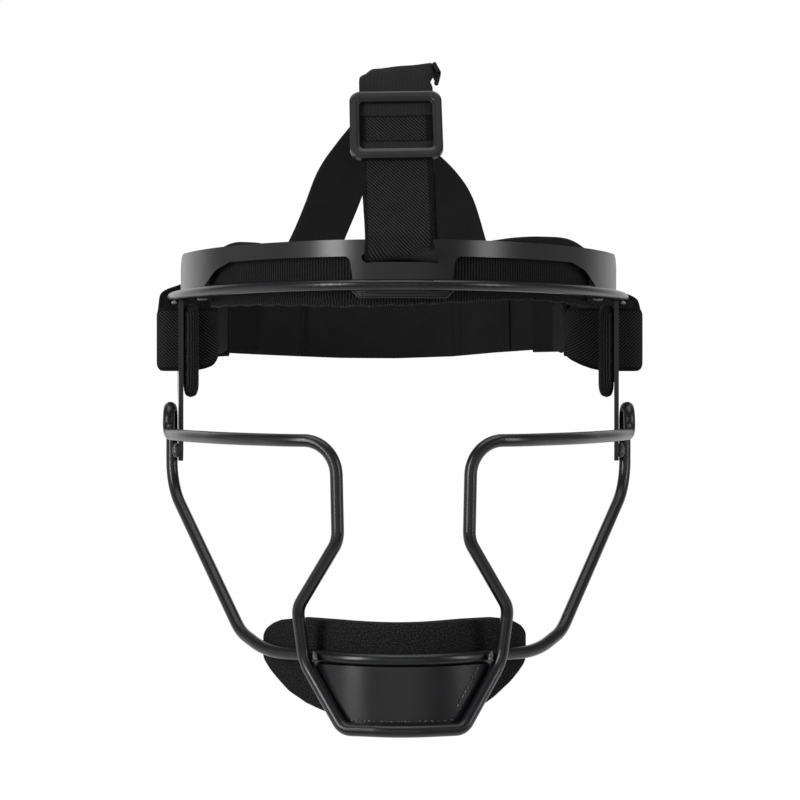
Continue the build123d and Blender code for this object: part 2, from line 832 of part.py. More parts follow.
def build():
    forehead_cover, forehead_foam = forehead_pad()
    temple_cover, temple_foam = temple_pad()
    chin_cover, chin_foam = chin_pad()
    parts = {
        "brow_bar": brow_bar(),
        "brow_plate": brow_plate(),
        "face_wire": face_wire(),
        "jaw_wire": jaw_wire(),
        "chin_plate": chin_plate(),
        "weld_beads": weld_beads(),
        "forehead_pad_cover": forehead_cover,
        "forehead_pad_foam": forehead_foam,
        "forehead_hook_strips": forehead_hook_strips(),
        "chin_pad_cover": chin_cover,
        "chin_pad_foam": chin_foam,
        "chin_hook_strip": chin_strip(chin_plate_inset(), hook_thickness),
        "chin_loop_patch": chin_strip(
            chin_plate_inset() + hook_thickness + soft_gap, chin_loop_thickness
        ),
        "crown_strap": crown_strap(),
        "slider": slider(),
        "strap_end_loop": strap_end_loop(),
        "fork_strap_left": fork_strap_left(),
        "fork_strap_right": fork_strap_right(),
        "rear_strap": rear_strap(),
    }
    sided = {
        "side_strut": side_strut(),
        "temple_pad_cover": temple_cover,
        "temple_pad_foam": temple_foam,
        "temple_hook_strip": temple_hook_strip(),
        "side_strap": side_strap(),
        "hook_tab": hook_tab(),
    }
    for name, solid in sided.items():
        parts[name + "_right"], parts[name + "_left"] = both_sides(solid)
    return parts


os.makedirs("parts", exist_ok=True)
for node, solid in build().items():
    export_step(solid, f"parts/{node}.step")
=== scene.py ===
import bpy
import numpy as np
from math import atan2, cos, hypot, pi, radians, sin, sqrt, tan
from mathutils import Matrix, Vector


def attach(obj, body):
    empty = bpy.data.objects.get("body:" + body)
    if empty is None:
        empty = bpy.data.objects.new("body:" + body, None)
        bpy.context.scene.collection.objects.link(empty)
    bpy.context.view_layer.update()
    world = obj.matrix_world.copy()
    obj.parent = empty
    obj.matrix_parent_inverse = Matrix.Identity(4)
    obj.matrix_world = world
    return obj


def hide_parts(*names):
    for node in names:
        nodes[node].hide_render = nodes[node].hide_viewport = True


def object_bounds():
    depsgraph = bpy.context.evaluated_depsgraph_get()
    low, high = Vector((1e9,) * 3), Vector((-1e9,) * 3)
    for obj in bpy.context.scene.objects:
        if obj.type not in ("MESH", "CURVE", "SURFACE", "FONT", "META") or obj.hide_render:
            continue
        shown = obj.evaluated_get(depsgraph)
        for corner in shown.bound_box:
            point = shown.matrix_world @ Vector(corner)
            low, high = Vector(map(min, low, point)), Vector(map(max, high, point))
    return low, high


bl_info = {
    "name": "Face guard dressing",
    "version": (1, 0, 0),
    "blender": (4, 5, 0),
    "location": "View3D > Sidebar > Guard",
    "description": "Coated wire, sewn elastic and knit pads for a wire face guard",
    "category": "Add Mesh",
}

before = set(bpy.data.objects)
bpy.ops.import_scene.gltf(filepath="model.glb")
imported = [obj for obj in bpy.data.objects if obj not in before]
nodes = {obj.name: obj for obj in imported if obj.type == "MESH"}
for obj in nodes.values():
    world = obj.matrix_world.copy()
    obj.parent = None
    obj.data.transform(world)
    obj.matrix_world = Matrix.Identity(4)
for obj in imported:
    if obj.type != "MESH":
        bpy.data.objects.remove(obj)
cad_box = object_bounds()

MM = 0.001
SIDES = {"left": -1, "right": 1}

# Sizes that the straps, pads and welds share with the frame, in metres
HEAD_CENTRE = 105 * MM              # from the front of the brow bar back to the origin
BROW_HALF_WIDTH = 98 * MM
BROW_REACH = 148 * MM
STRAP_THICKNESS = 1.6 * MM
CROWN_LEAN = radians(24.6)
CROWN_RUN = 70 * MM / cos(CROWN_LEAN)
CROWN_SHIFT = -1.4 * MM
CROWN_TILT = radians(-1.1)
SLIDER_PLACE = 46.8 * MM
BACK_HALF_WIDTH = 96 * MM
BACK_REACH = 93 * MM
BACK_HEIGHT = 87 * MM
BACK_SHOULDER = 10 * MM             # height above which the back of the head curves in
STRUT_FACE = 89.05 * MM
STRUT_FLARE = radians(5.7)
REAR_INSET = 2.6 * MM

# Where the camera stands, and how far it is turned from straight ahead
EYE = (-15.4 * MM, -1005 * MM, -43.3 * MM)
EYE_TURN = radians(-0.91)
SENSOR = 36

# A cloth's lay starts here where no fold is shown, since the twill is plain and painted lighter around 0
PAST_FOLD = 10 * MM
UP = (0, 0, 1.0)
CHIN_BEND_CENTRE = -67 * MM         # y of the middle of the chin plate's bend


def back(depth):
    """Y of a depth that is measured back from the front of the brow bar."""
    return depth - HEAD_CENTRE


# Materials

class Reading:
    """A value or colour in a material's nodes. Sums written on it add Math nodes."""

    def __init__(self, finish, socket):
        self.finish = finish
        self.socket = socket

    def maths(self, operation, *values):
        return self.finish.node("ShaderNodeMath", {"operation": operation}, dict(enumerate(values)))

    def __add__(self, other):
        return self.maths("ADD", self, other)

    __radd__ = __add__

    def __mul__(self, other):
        return self.maths("MULTIPLY", self, other)

    __rmul__ = __mul__

    def __sub__(self, other):
        return self.maths("SUBTRACT", self, other)

    def __rsub__(self, other):
        return self.maths("SUBTRACT", other, self)

    def __pow__(self, other):
        return self.maths("POWER", self, other)

    def __abs__(self):
        return self.maths("ABSOLUTE", self)

    def wave(self, pitch):
        """A ripple from 0 to 1 that repeats every pitch."""
        return 0.5 + 0.5 * self.maths("COSINE", self * (2 * pi / pitch))

    def step(self, low, high):
        """0 below low, 1 above high, and a soft rise between."""
        return self.finish.node(
            "ShaderNodeMapRange",
            {"interpolation_type": "SMOOTHSTEP"},
            {"Value": self, "From Min": low, "From Max": high},
        )


class Nodes:
    """The nodes of a material or of the surroundings."""

    def __init__(self, tree):
        self.tree = tree

    def node(self, kind, settings=None, values=None, output=0):
        made = self.tree.nodes.new(kind)
        for key, value in (settings or {}).items():
            if key == "stops":
                ramp = made.color_ramp.elements
                for number, (place, colour) in enumerate(value):
                    stop = ramp[number] if number < len(ramp) else ramp.new(place)
                    stop.position = place
                    stop.color = colour
            else:
                setattr(made, key, value)
        for place, value in (values or {}).items():
            if isinstance(value, Reading):
                self.tree.links.new(value.socket, made.inputs[place])
            else:
                made.inputs[place].default_value = value
        return Reading(self, made.outputs[output])

    def parts(self, vector):
        """The three numbers of a vector."""
        split = self.node("ShaderNodeSeparateXYZ", values={"Vector": vector})
        outputs = split.socket.node.outputs
        return [Reading(self, outputs[axis]) for axis in range(3)]


class Finish(Nodes):
    """A material: its shader's steady values, and the nodes that vary over the surface."""

    def __init__(self, name, **steady):
        self.material = bpy.data.materials.new(name)
        self.material.use_nodes = True
        super().__init__(self.material.node_tree)
        self.shader = self.tree.nodes["Principled BSDF"]
        for key, value in steady.items():
            self.shader.inputs[key.replace("_", " ")].default_value = value

    def feed(self, place, value):
        self.tree.links.new(value.socket, self.shader.inputs[place])

    def place(self):
        """Where on the object a point is, in metres."""
        return self.node("ShaderNodeTexCoord", output="Object")

    def lay(self):
        """Where on the cloth a point is: along it and across it, in metres."""
        return self.node("ShaderNodeUVMap", {"uv_map": "lay"})

    def noise(self, vector, grain, detail=3.0, roughness=0.55):
        """Cloudy noise from 0 to 1 whose grain is a length in metres."""
        values = {"Vector": vector, "Scale": 1 / grain, "Detail": detail, "Roughness": roughness}
        return self.node("ShaderNodeTexNoise", {"noise_dimensions": "3D"}, values)

    def stretched(self, vector, scale):
        """The vector with each of its parts multiplied by a scale of its own."""
        return self.node("ShaderNodeVectorMath", {"operation": "MULTIPLY"}, {0: vector, 1: scale})

    def between(self, low, high, share):
        """A colour between two, by a share from 0 to 1."""
        factor, first, second, result = 0, 6, 7, 2      # the mix node's sockets for colours
        values = {factor: share, first: (*low, 1), second: (*high, 1)}
        return self.node("ShaderNodeMix", {"data_type": "RGBA"}, values, result)

    def made(self, colours, share, roughness, relief, depth, strength):
        """The material, with a colour between two and a relief from 0 to 1 of a depth in metres."""
        self.feed("Base Color", self.between(*colours, share))
        self.feed("Roughness", roughness)
        values = {"Height": relief, "Distance": depth, "Strength": strength}
        self.feed("Normal", self.node("ShaderNodeBump", values=values))
        return self.material


def powder_coat():
    """Satin powder coat: a faint orange peel, cloudier gloss in patches, and a few dust specks."""
    finish = Finish("powder_coat", IOR=1.5)
    place = finish.place()
    peel = finish.noise(place, 0.9 * MM, detail=1.0)
    cloud = finish.noise(place, 22 * MM, detail=2.0)
    speck = finish.noise(place, 0.35 * MM, detail=0.0).step(0.74, 0.80)
    colours = (0.0065, 0.0067, 0.0078), (0.0105, 0.0108, 0.0125)
    roughness = 0.24 + cloud * 0.09 + speck * 0.15
    return finish.made(colours, cloud, roughness, peel + speck * 0.3, 0.012 * MM, 0.4)


def weld_metal_painted_glints():
    """Weld beads under the same coat: rippled and a little glossier, with pale painted highlights on their
    ripples.
    """
    finish = Finish("weld_metal_painted_glints", IOR=1.5)
    place = finish.place()
    ripple = finish.noise(place, 0.8 * MM, detail=2.0)
    # pale grey up to 0.14 on the ripples' crests: painted highlights on beads that wear the black coat
    colours = (0.015, 0.015, 0.016), (0.14, 0.14, 0.145)
    roughness = 0.20 + ripple * 0.15
    return finish.made(colours, ripple.step(0.35, 0.70), roughness, ripple, 0.12 * MM, 0.6)


def slider_coat():
    """The slider's smoother, glossier coat."""
    finish = Finish("slider_coat", IOR=1.5)
    place = finish.place()
    cloud = finish.noise(place, 6 * MM, detail=3.0)
    colours = (0.008, 0.008, 0.009), (0.014, 0.014, 0.015)
    roughness = 0.30 + cloud * 0.12
    peel = finish.noise(place, 0.6 * MM, detail=1.0)
    return finish.made(colours, cloud, roughness, peel, 0.012 * MM, 0.5)


def twill_elastic():
    """Woven elastic: diagonal ribs, a ribbed selvedge at both edges, and a plain band at a fold whose
    colour is painted lighter as a highlight.
    """
    finish = Finish("twill_elastic", Specular_IOR_Level=0.12, IOR=1.45)
    lay = finish.lay()
    along, across, _ = finish.parts(lay)
    wander = finish.noise(lay, 3 * MM, detail=2.0) * (0.3 * MM)
    slant = across * 0.72 + along * 0.69 + wander
    rib = slant.wave(1.02 * MM)
    float_end = (across * 0.69 - along * 0.72 + slant * 0.35).wave(0.8 * MM)
    twill = rib ** 0.8 * (0.66 + 0.34 * float_end)
    edge = abs(across).step(11.3 * MM, 11.9 * MM)
    selvedge = across.wave(0.55 * MM) * (0.5 + 0.5 * along.wave(0.6 * MM))
    fuzz = finish.noise(lay, 0.2 * MM, detail=1.0)
    woven = twill * (1 - edge) + selvedge * edge * 0.45
    plain = abs(along).step(1.6 * MM, 2.6 * MM)
    relief = woven * (0.25 + 0.75 * plain) + fuzz * 0.25
    # the plain band's colour is raised by 0.34: a painted highlight for the crest over the crown, which the
    # plain bands at the slider get too
    shade = relief ** 1.9 * 0.9 + finish.noise(lay, 9 * MM) * 0.12 + (1 - plain) * 0.34
    colours = (0.0008, 0.0008, 0.0009), (0.045, 0.045, 0.046)
    roughness = 0.92 - relief * 0.14
    return finish.made(colours, shade, roughness, relief, 0.42 * MM, 1.0)


def ribbed_knit():
    """Brushed knit of the pads: fine upright ribs under a short nap."""
    finish = Finish("ribbed_knit", Specular_IOR_Level=0.12, IOR=1.45)
    lay = finish.lay()
    along, across, _ = finish.parts(lay)
    wander = finish.noise(lay, 4 * MM, detail=2.0)
    ribs = (along + wander * (0.6 * MM)).wave(1.15 * MM)
    loops = (across + wander * (0.4 * MM)).wave(0.8 * MM)
    nap = finish.noise(finish.stretched(lay, (1.0, 0.6, 1.0)), 0.5 * MM, detail=3.0, roughness=0.7)
    relief = ribs * (0.6 + 0.25 * loops) + nap * 0.7
    shade = ribs ** 1.4 * 0.65 + nap.step(0.42, 0.74) * 0.35
    colours = (0.0014, 0.0014, 0.0016), (0.038, 0.038, 0.040)
    roughness = 0.97 - nap * 0.1
    return finish.made(colours, shade, roughness, relief, 0.30 * MM, 0.8)


def loop_pile():
    """Unbroken loop pile of the chin pad: a fuzzy grain with paler tips."""
    finish = Finish("loop_pile", Specular_IOR_Level=0.06, IOR=1.45)
    lay = finish.lay()
    pile = finish.noise(lay, 0.6 * MM, detail=3.0, roughness=0.75)
    tufts = finish.noise(finish.stretched(lay, (0.6, 1.6, 1.0)), 1.3 * MM, detail=2.0)
    relief = pile * 0.8 + tufts * 0.5
    shade = pile.step(0.42, 0.72) * 0.75 + tufts * 0.2
    colours = (0.0020, 0.0020, 0.0023), (0.058, 0.058, 0.061)
    roughness = 0.97 - pile * 0.1
    return finish.made(colours, shade, roughness, relief, 0.38 * MM, 0.8)


def brushed_loop():
    """The rear strap's brushed face that the hook tabs grip: near black, with an upright grain."""
    finish = Finish("brushed_loop", Specular_IOR_Level=0.12, IOR=1.45)
    lay = finish.lay()
    fibres = finish.noise(finish.stretched(lay, (1.6, 0.6, 1.0)), 0.5 * MM, detail=3.0, roughness=0.7)
    patches = finish.noise(lay, 14 * MM, detail=2.0)
    shade = fibres.step(0.30, 0.80) * 0.6 + patches * 0.3
    colours = (0.0070, 0.0070, 0.0071), (0.031, 0.031, 0.0315)
    roughness = 0.95 + fibres * 0.04
    return finish.made(colours, shade, roughness, fibres, 0.12 * MM, 0.6)


def binding_tape():
    """The paler overlock thread at the pads' edges."""
    finish = Finish("binding_tape", Specular_IOR_Level=0.2, IOR=1.45)
    place = finish.place()
    grain = finish.noise(place, 0.6 * MM, detail=2.0)
    colours = (0.012, 0.012, 0.0125), (0.07, 0.07, 0.072)
    roughness = 0.85 + grain * 0.1
    return finish.made(colours, grain.step(0.3, 0.7), roughness, grain, 0.08 * MM, 0.6)


def hook_rows():
    """Hook tape: a dull base under rows of tiny hooks."""
    finish = Finish("hook_rows", Specular_IOR_Level=0.12, IOR=1.45)
    lay = finish.lay()
    along, across, _ = finish.parts(lay)
    hooks = along.wave(1.1 * MM) * across.wave(0.8 * MM)
    grain = finish.noise(lay, 0.3 * MM, detail=2.0)
    colours = (0.0035, 0.0035, 0.0036), (0.028, 0.028, 0.029)
    roughness = 0.90 + grain * 0.08
    return finish.made(colours, hooks * 0.7 + grain * 0.3, roughness, hooks, 0.2 * MM, 0.6)


def sewing_thread():
    """Bonded thread: a tight twist with a slight sheen."""
    finish = Finish("sewing_thread", Specular_IOR_Level=0.25, IOR=1.45)
    place = finish.place()
    twist = finish.noise(place, 0.2 * MM, detail=1.0)
    colours = (0.003, 0.003, 0.003), (0.016, 0.016, 0.016)
    roughness = 0.5 + twist * 0.2
    return finish.made(colours, twist, roughness, twist, 0.06 * MM, 0.5)


MAKERS = {
    maker.__name__: maker
    for maker in (
        powder_coat, weld_metal_painted_glints, slider_coat, twill_elastic, ribbed_knit,
        loop_pile, brushed_loop, binding_tape, hook_rows, sewing_thread,
    )
}


def finish_named(name):
    """The material of that name, made when it is first asked for."""
    return bpy.data.materials.get(name) or MAKERS[name]()


def coat(piece, name):
    """Give every face of a piece one material."""
    piece.data.materials.clear()
    piece.data.materials.append(finish_named(name))
    return piece


# Meshes

def new_piece(name, points, faces):
    """An object of its own, from points and from faces that list their numbers."""
    mesh = bpy.data.meshes.new(name)
    mesh.from_pydata(points, [], faces)
    piece = bpy.data.objects.new(name, mesh)
    bpy.context.scene.collection.objects.link(piece)
    return piece


def faces_over(rows, columns):
    """Four-sided faces over a grid of points that goes round, and the faces that close its ends."""
    index = np.arange(rows * columns).reshape(rows, columns)
    caps = np.stack([index[0][::-1], index[-1]])
    index = np.concatenate([index, index[:, :1]], axis=1)
    quads = np.stack([index[:-1, :-1], index[:-1, 1:], index[1:, 1:], index[1:, :-1]], axis=-1)
    return quads.reshape(-1, 4), caps


def surface(name, grid, capped=True, lay=None):
    """A closed mesh over grid[i, j]: rows run along the piece, columns go round it."""
    quads, caps = faces_over(*grid.shape[:2])
    faces = quads.tolist() + (caps.tolist() if capped else [])
    piece = new_piece(name, grid.reshape(-1, 3).tolist(), faces)
    if lay is not None:
        set_lay(piece.data, lay.reshape(-1, 2))
    piece.data.shade_smooth()
    return point_outwards(piece)


def set_lay(mesh, lay):
    """Keep where each point lies on its cloth as the map that the cloth finishes read."""
    corners = np.empty(len(mesh.loops), np.int32)
    mesh.loops.foreach_get("vertex_index", corners)
    layer = mesh.uv_layers.get("lay") or mesh.uv_layers.new(name="lay")
    layer.data.foreach_set("uv", np.asarray(lay, float)[corners].reshape(-1))


def point_outwards(piece):
    """Turn a closed mesh's faces so that all of them look out: its signed volume is positive."""
    mesh = piece.data
    mesh.calc_loop_triangles()
    triangles = np.empty(len(mesh.loop_triangles) * 3, np.int32)
    mesh.loop_triangles.foreach_get("vertices", triangles)
    points = points_of(mesh)[triangles.reshape(-1, 3)]
    volume = np.einsum("ij,ij->i", points[:, 0], np.cross(points[:, 1], points[:, 2])).sum()
    if volume < 0:
        mesh.flip_normals()
    return piece


def points_of(mesh):
    """The mesh's points as rows of three."""
    points = np.empty(len(mesh.vertices) * 3)
    mesh.vertices.foreach_get("co", points)
    return points.reshape(-1, 3)


def move_points(mesh, points):
    mesh.vertices.foreach_set("co", points.reshape(-1))
    mesh.update()


def joined(name, pieces):
    """One object from several."""
    with bpy.context.temp_override(
        active_object=pieces[0], selected_objects=pieces, selected_editable_objects=pieces
    ):
        bpy.ops.object.join()
    pieces[0].name = name
    pieces[0].data.name = name
    return pieces[0]


def unit(vectors):
    """Each vector divided by its own length."""
    return vectors / np.linalg.norm(vectors, axis=-1, keepdims=True)


def rounded_route(corners, radii, step=1.2 * MM):
    """Straight runs joined by tangent arcs, as evenly spaced points.

    An arc of radius r at a corner with half turn h starts r tan(h) before it.
    """
    corners = np.asarray(corners, float)
    stretches = [corners[:1]]
    for before, corner, after, radius in zip(corners, corners[1:], corners[2:], radii):
        into = unit(corner - before)
        away = unit(after - corner)
        turn = np.arccos(np.clip(into @ away, -1, 1))
        if turn < 1e-4:
            continue
        if radius is None:
            run = min(np.linalg.norm(corner - before), np.linalg.norm(after - corner))
            radius = 0.45 * run / tan(turn / 2)
        start = corner - into * radius * tan(turn / 2)
        side = unit(away - into * (into @ away))
        angle = np.linspace(0, turn, max(5, int(turn / radians(5))))[:, None]
        stretches.append(start + radius * (into * np.sin(angle) + side * (1 - np.cos(angle))))
    stretches.append(corners[-1:])
    rough = np.concatenate(stretches)
    length = lengths_along(rough)
    even = np.linspace(0, length[-1], max(8, int(length[-1] / step)))
    return np.stack([np.interp(even, length, rough[:, axis]) for axis in range(3)], axis=1), even


def smooth(points, count):
    """A curve through points, by Catmull and Rom's cubic.

    Between points b and c, with a before and d after, it is
    (2b + (c - a) t + (2a - 5b + 4c - d) t^2 + (3b - a - 3c + d) t^3) / 2.
    """
    points = np.asarray(points, float)
    ends = np.concatenate([2 * points[:1] - points[1:2], points, 2 * points[-1:] - points[-2:-1]])
    place = np.linspace(0, len(points) - 1, count)
    first = np.minimum(place.astype(int), len(points) - 2)
    t = (place - first)[:, None]
    a, b, c, d = (ends[first + shift] for shift in range(4))
    return (2 * b + (c - a) * t + (2 * a - 5 * b + 4 * c - d) * t**2 + (3 * b - a - 3 * c + d) * t**3) / 2


def lengths_along(route):
    """How far along its route each point lies."""
    return np.concatenate([[0], np.cumsum(np.linalg.norm(np.diff(route, axis=0), axis=1))])


def eased(value, low, high):
    """0 below low, 1 above high, and 3t^2 - 2t^3 between."""
    t = np.clip((value - low) / (high - low), 0, 1)
    return t * t * (3 - 2 * t)


def traced(x, places, values):
    """Values at places, both in millimetres, with straight runs between them."""
    return np.interp(x, np.array(places) * MM, np.array(values) * MM)


def section(thickness, columns):
    """Once round a strap: places from -1 to 1 across it, and heights off its middle surface.

    The height at v is half the thickness times sqrt(1 - v^16), so that the edges are round.
    """
    spread = np.sin(np.linspace(-pi / 2, pi / 2, columns))
    v = np.concatenate([spread, spread[-2:0:-1]])
    face = np.concatenate([np.ones(columns), -np.ones(columns - 2)])
    return v, face * thickness / 2 * np.sqrt(np.clip(1 - v**16, 0, 1))


def strap(name, route, length, across, width, thickness=STRAP_THICKNESS, rise=None, columns=29):
    """A woven strap carried along a route.

    across is the direction of the width, for all of the route or for each point, and the
    width may change along it. rise(s, v) lifts the strap off its route.
    """
    along = unit(np.gradient(route, axis=0))
    wide = np.broadcast_to(np.asarray(across, float), route.shape)
    wide = unit(wide - along * np.sum(wide * along, axis=1, keepdims=True))
    out = np.cross(wide, along)
    v, height = section(thickness, columns)
    lift = np.zeros((len(route), len(v))) if rise is None else rise(length[:, None], v[None, :])
    half = np.broadcast_to(np.asarray(width, float) / 2, len(route))[:, None] * v[None, :]
    grid = (
        route[:, None]
        + wide[:, None] * half[..., None]
        + out[:, None] * (height[None, :] + lift)[..., None]
    )
    lay = np.stack(np.broadcast_arrays(length[:, None], half), axis=-1)
    return surface(name, grid, lay=lay)


def tube(name, route, radius, sides=12):
    """A round tube carried along a route."""
    ahead = unit(np.gradient(route, axis=0))
    steady = np.array([0.31, 0.22, 0.92])       # no route here runs this way
    side = unit(np.cross(ahead, steady))
    up = np.cross(side, ahead)
    angle = np.linspace(0, 2 * pi, sides, endpoint=False)
    ring = side[:, None] * np.cos(angle)[None, :, None] + up[:, None] * np.sin(angle)[None, :, None]
    return surface(name, route[:, None] + ring * radius)


def stitches(name, places, directions, normals, length, radius, finish="sewing_thread"):
    """A row of sewn stitches, each a small capsule that dips at both ends.

    A capsule at share t from -1 to 1 of its length is r sqrt(1 - t^4) thick and lies
    0.5 r (1 - t^2) above the cloth.
    """
    t = np.linspace(-1, 1, 7)
    angle = np.linspace(0, 2 * pi, 6, endpoint=False)
    thick = radius * np.sqrt(np.clip(1 - t**4, 0.02, 1))
    places, directions, normals = (np.asarray(value, float) for value in (places, directions, normals))
    directions = unit(directions)
    normals = unit(normals)
    sides = np.cross(normals, directions)
    middle = directions[:, None] * (t * length / 2)[None, :, None]
    middle = middle + normals[:, None] * (0.5 * radius * (1 - t**2))[None, :, None]
    ring = (
        sides[:, None, None] * (np.cos(angle)[None, None, :] * thick[None, :, None])[..., None]
        + normals[:, None, None] * (np.sin(angle)[None, None, :] * thick[None, :, None])[..., None]
    )
    points = places[:, None, None] + middle[:, :, None] + ring
    quads, caps = faces_over(len(t), len(angle))
    first = (np.arange(len(places)) * len(t) * len(angle))[:, None, None]
    sides_of, ends_of = ((group + first).reshape(-1, group.shape[1]) for group in (quads, caps))
    piece = new_piece(name, points.reshape(-1, 3).tolist(), sides_of.tolist() + ends_of.tolist())
    piece.data.shade_smooth()
    return coat(point_outwards(piece), finish)


def settle(piece, body, slot, *replaced):
    """Hand a finished piece to the body that it rides on."""
    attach(piece, body)
    if replaced:
        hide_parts(*replaced)
    return piece


# Frame of coated metal

def weld_lump(name, centre, size, lean, ripples=5):
    """A weld bead: an egg of three half sizes in mm whose skin swells and sinks along its length.

    Its radius is scaled by 1 + 0.09 cos(2 n u) sin(u), where u runs from 0 to pi between the
    ends and n is the number of ripples. Each end is drawn in to a small ring.
    """
    size = np.array(size) * MM
    u = np.linspace(0, pi, 19)[:, None]
    w = np.linspace(0, 2 * pi, 18, endpoint=False)[None, :]
    swell = 1 + 0.09 * np.cos(ripples * 2 * u) * np.sin(u)
    x = size[0] * np.cos(u) + 0 * w
    y = size[1] * np.sin(u) * np.cos(w) * swell
    z = size[2] * np.sin(u) * np.sin(w) * swell
    ahead = unit(np.asarray(lean, float))
    side = unit(np.cross(UP if abs(ahead[2]) < 0.9 else (0, 1.0, 0), ahead))
    up = np.cross(ahead, side)
    grid = np.asarray(centre, float) + x[..., None] * ahead + y[..., None] * side + z[..., None] * up
    grid[0] = grid[0].mean(axis=0) + (grid[1] - grid[1].mean(axis=0)) * 0.05
    grid[-1] = grid[-1].mean(axis=0) + (grid[-2] - grid[-2].mean(axis=0)) * 0.05
    # the weld coat paints pale highlights on the bead's ripples
    return coat(surface(name, grid), "weld_metal_painted_glints")


# The right side's weld beads in mm: place, half sizes and lean
WELDS = (
    ((33.0, -102.6, -140.2), (2.7, 1.0, 1.2), (0.2, 0.1, 1)),       # crossbar on upright
    ((92.6, -5.9, -64.2), (3.2, 1.7, 1.5), (0, 0, 1)),              # strut on cheek bar
    ((92.9, -7.0, -2.9), (5.5, 1.2, 1.0), (0.25, 1, 0)),            # brow bar on strut
    ((79.4, -41.0, -2.7), (4.0, 1.0, 0.8), (0.55, 0.83, 0)),        # brow bar on plate
)
GLINTING_WELDS_BELOW = -10              # height in mm under which the beads' ripples show through, with their painted highlights


def plate_tacks():
    """Small tacks where the chin plate is welded to the bottom bar and to an upright."""
    spots = []
    for x in np.concatenate([np.linspace(-19, -11, 6), np.linspace(-8, 2, 9), np.linspace(6, 18, 6)]):
        height = -162.8 * MM + 0.15 * MM * cos(2.1 * x)
        spots.append((x * MM, height, 46.4 * MM, (0.55, 0.35, 0.32), (1, 0, 0)))
    for share in np.linspace(0, 1, 9):
        x = 20.5 * MM + 7.5 * MM * share
        height = -157.5 * MM + 13.5 * MM * share
        spots.append((x, height, 46.3 * MM, (0.6, 0.35, 0.3), (0.5, 0.2, 1)))
    tacks = []
    for number, (x, height, bend, size, lean) in enumerate(spots):
        y = CHIN_BEND_CENTRE - sqrt(bend**2 - x**2)
        tacks.append(weld_lump(f"tack_{number}", (x, y, height), size, lean, 1))
    return tacks


class GUARD_OT_frame(bpy.types.Operator):
    """Coat the bar, plate, struts, wires and chin plate"""

    bl_idname = "guard.frame"
    bl_label = "Coated frame"

    def execute(self, context):
        for name in ("brow_bar", "brow_plate", "side_strut_left", "side_strut_right",
                     "face_wire", "jaw_wire", "chin_plate"):
            coat(nodes[name], "powder_coat")
        return {"FINISHED"}


class GUARD_OT_boss(bpy.types.Operator):
    """Round the pressed boss at the foot of the brow plate and the tab's bright lower edge"""

    bl_idname = "guard.boss"
    bl_label = "Pressed boss"

    def execute(self, context):
        front = back(2.05 * MM)
        boss = weld_lump("boss", (0, front, -2.2 * MM), (15.9, 0.9, 1.15), (1, 0, 0), ripples=0)
        outline = ((-19.4, -1.7), (-16.5, -4.6), (16.5, -4.6), (19.4, -1.7))
        corners = [(x * MM, front, z * MM) for x, z in outline]
        edge, _ = rounded_route(corners, [1.2 * MM, 1.2 * MM], 0.8 * MM)
        rim = tube("rim", edge, 0.36 * MM, 10)
        for shape in (boss, rim):
            points = points_of(shape.data)
            points[:, 1] += BROW_REACH * (1 - np.sqrt(1 - (points[:, 0] / BROW_HALF_WIDTH) ** 2))
            move_points(shape.data, points)
        piece = joined("pressed_boss", [coat(boss, "powder_coat"), coat(rim, "powder_coat")])
        settle(piece, "guard", "frame_black")
        return {"FINISHED"}


class GUARD_OT_welds(bpy.types.Operator):
    """Lay the weld beads where the frame's pieces meet"""

    bl_idname = "guard.welds"
    bl_label = "Weld beads"

    def execute(self, context):
        lumps = []
        for side, sign in SIDES.items():
            mirror = (sign, 1, 1)
            for number, (place, size, lean) in enumerate(WELDS):
                name = f"weld_{side}_{number}"
                lump = weld_lump(name, np.array(place) * MM * mirror, size, np.array(lean) * mirror)
                # beads below that height keep the weld coat, whose pale ripples are painted highlights
                lumps.append(coat(lump, "powder_coat") if place[2] > GLINTING_WELDS_BELOW else lump)
        lumps += plate_tacks()
        settle(joined("weld_lumps", lumps), "guard", "weld", "weld_beads")
        return {"FINISHED"}


# Straps

def crown_direction():
    """Up the front run of the crown strap."""
    return unit(np.array([tan(CROWN_TILT), sin(CROWN_LEAN), cos(CROWN_LEAN)]))


def crown_out():
    """Out of the front run, towards the viewer."""
    return np.array([0, -cos(CROWN_LEAN), sin(CROWN_LEAN)])


def crown_foot():
    """Where the front run starts, just above the plate."""
    return np.array([CROWN_SHIFT, back(1.15 * MM), 18.5 * MM])


# Past the top of the front run, in mm: shift to the right, depth and height
OVER_CROWN = ((1.2, 73.5, 86.7), (3.4, 111.3, 89.6), (4.6, 139.65, 86.0), (3.4, 157.5, 77))


def crown_route():
    """The crown strap's route, from its return layer round the plate's rail and over the crown."""
    foot = crown_foot()
    fold = 4.9 * MM
    rear = foot + np.array([0, fold, -fold * tan(CROWN_LEAN / 2)])
    bottom = 10.2 * MM
    head = foot + crown_direction() * CROWN_RUN
    corners = [
        rear + crown_direction() * 28.5 * MM,
        rear,
        (foot[0], rear[1], bottom),
        (foot[0], foot[1], bottom),
        foot,
        head,
        *((head[0] + x * MM, back(depth * MM), z * MM) for x, depth, z in OVER_CROWN),
    ]
    round_rail = 2.4 * MM
    radii = [fold, round_rail, round_rail, fold, 18 * MM, None, None, None]
    return rounded_route(corners, radii, 0.9 * MM)


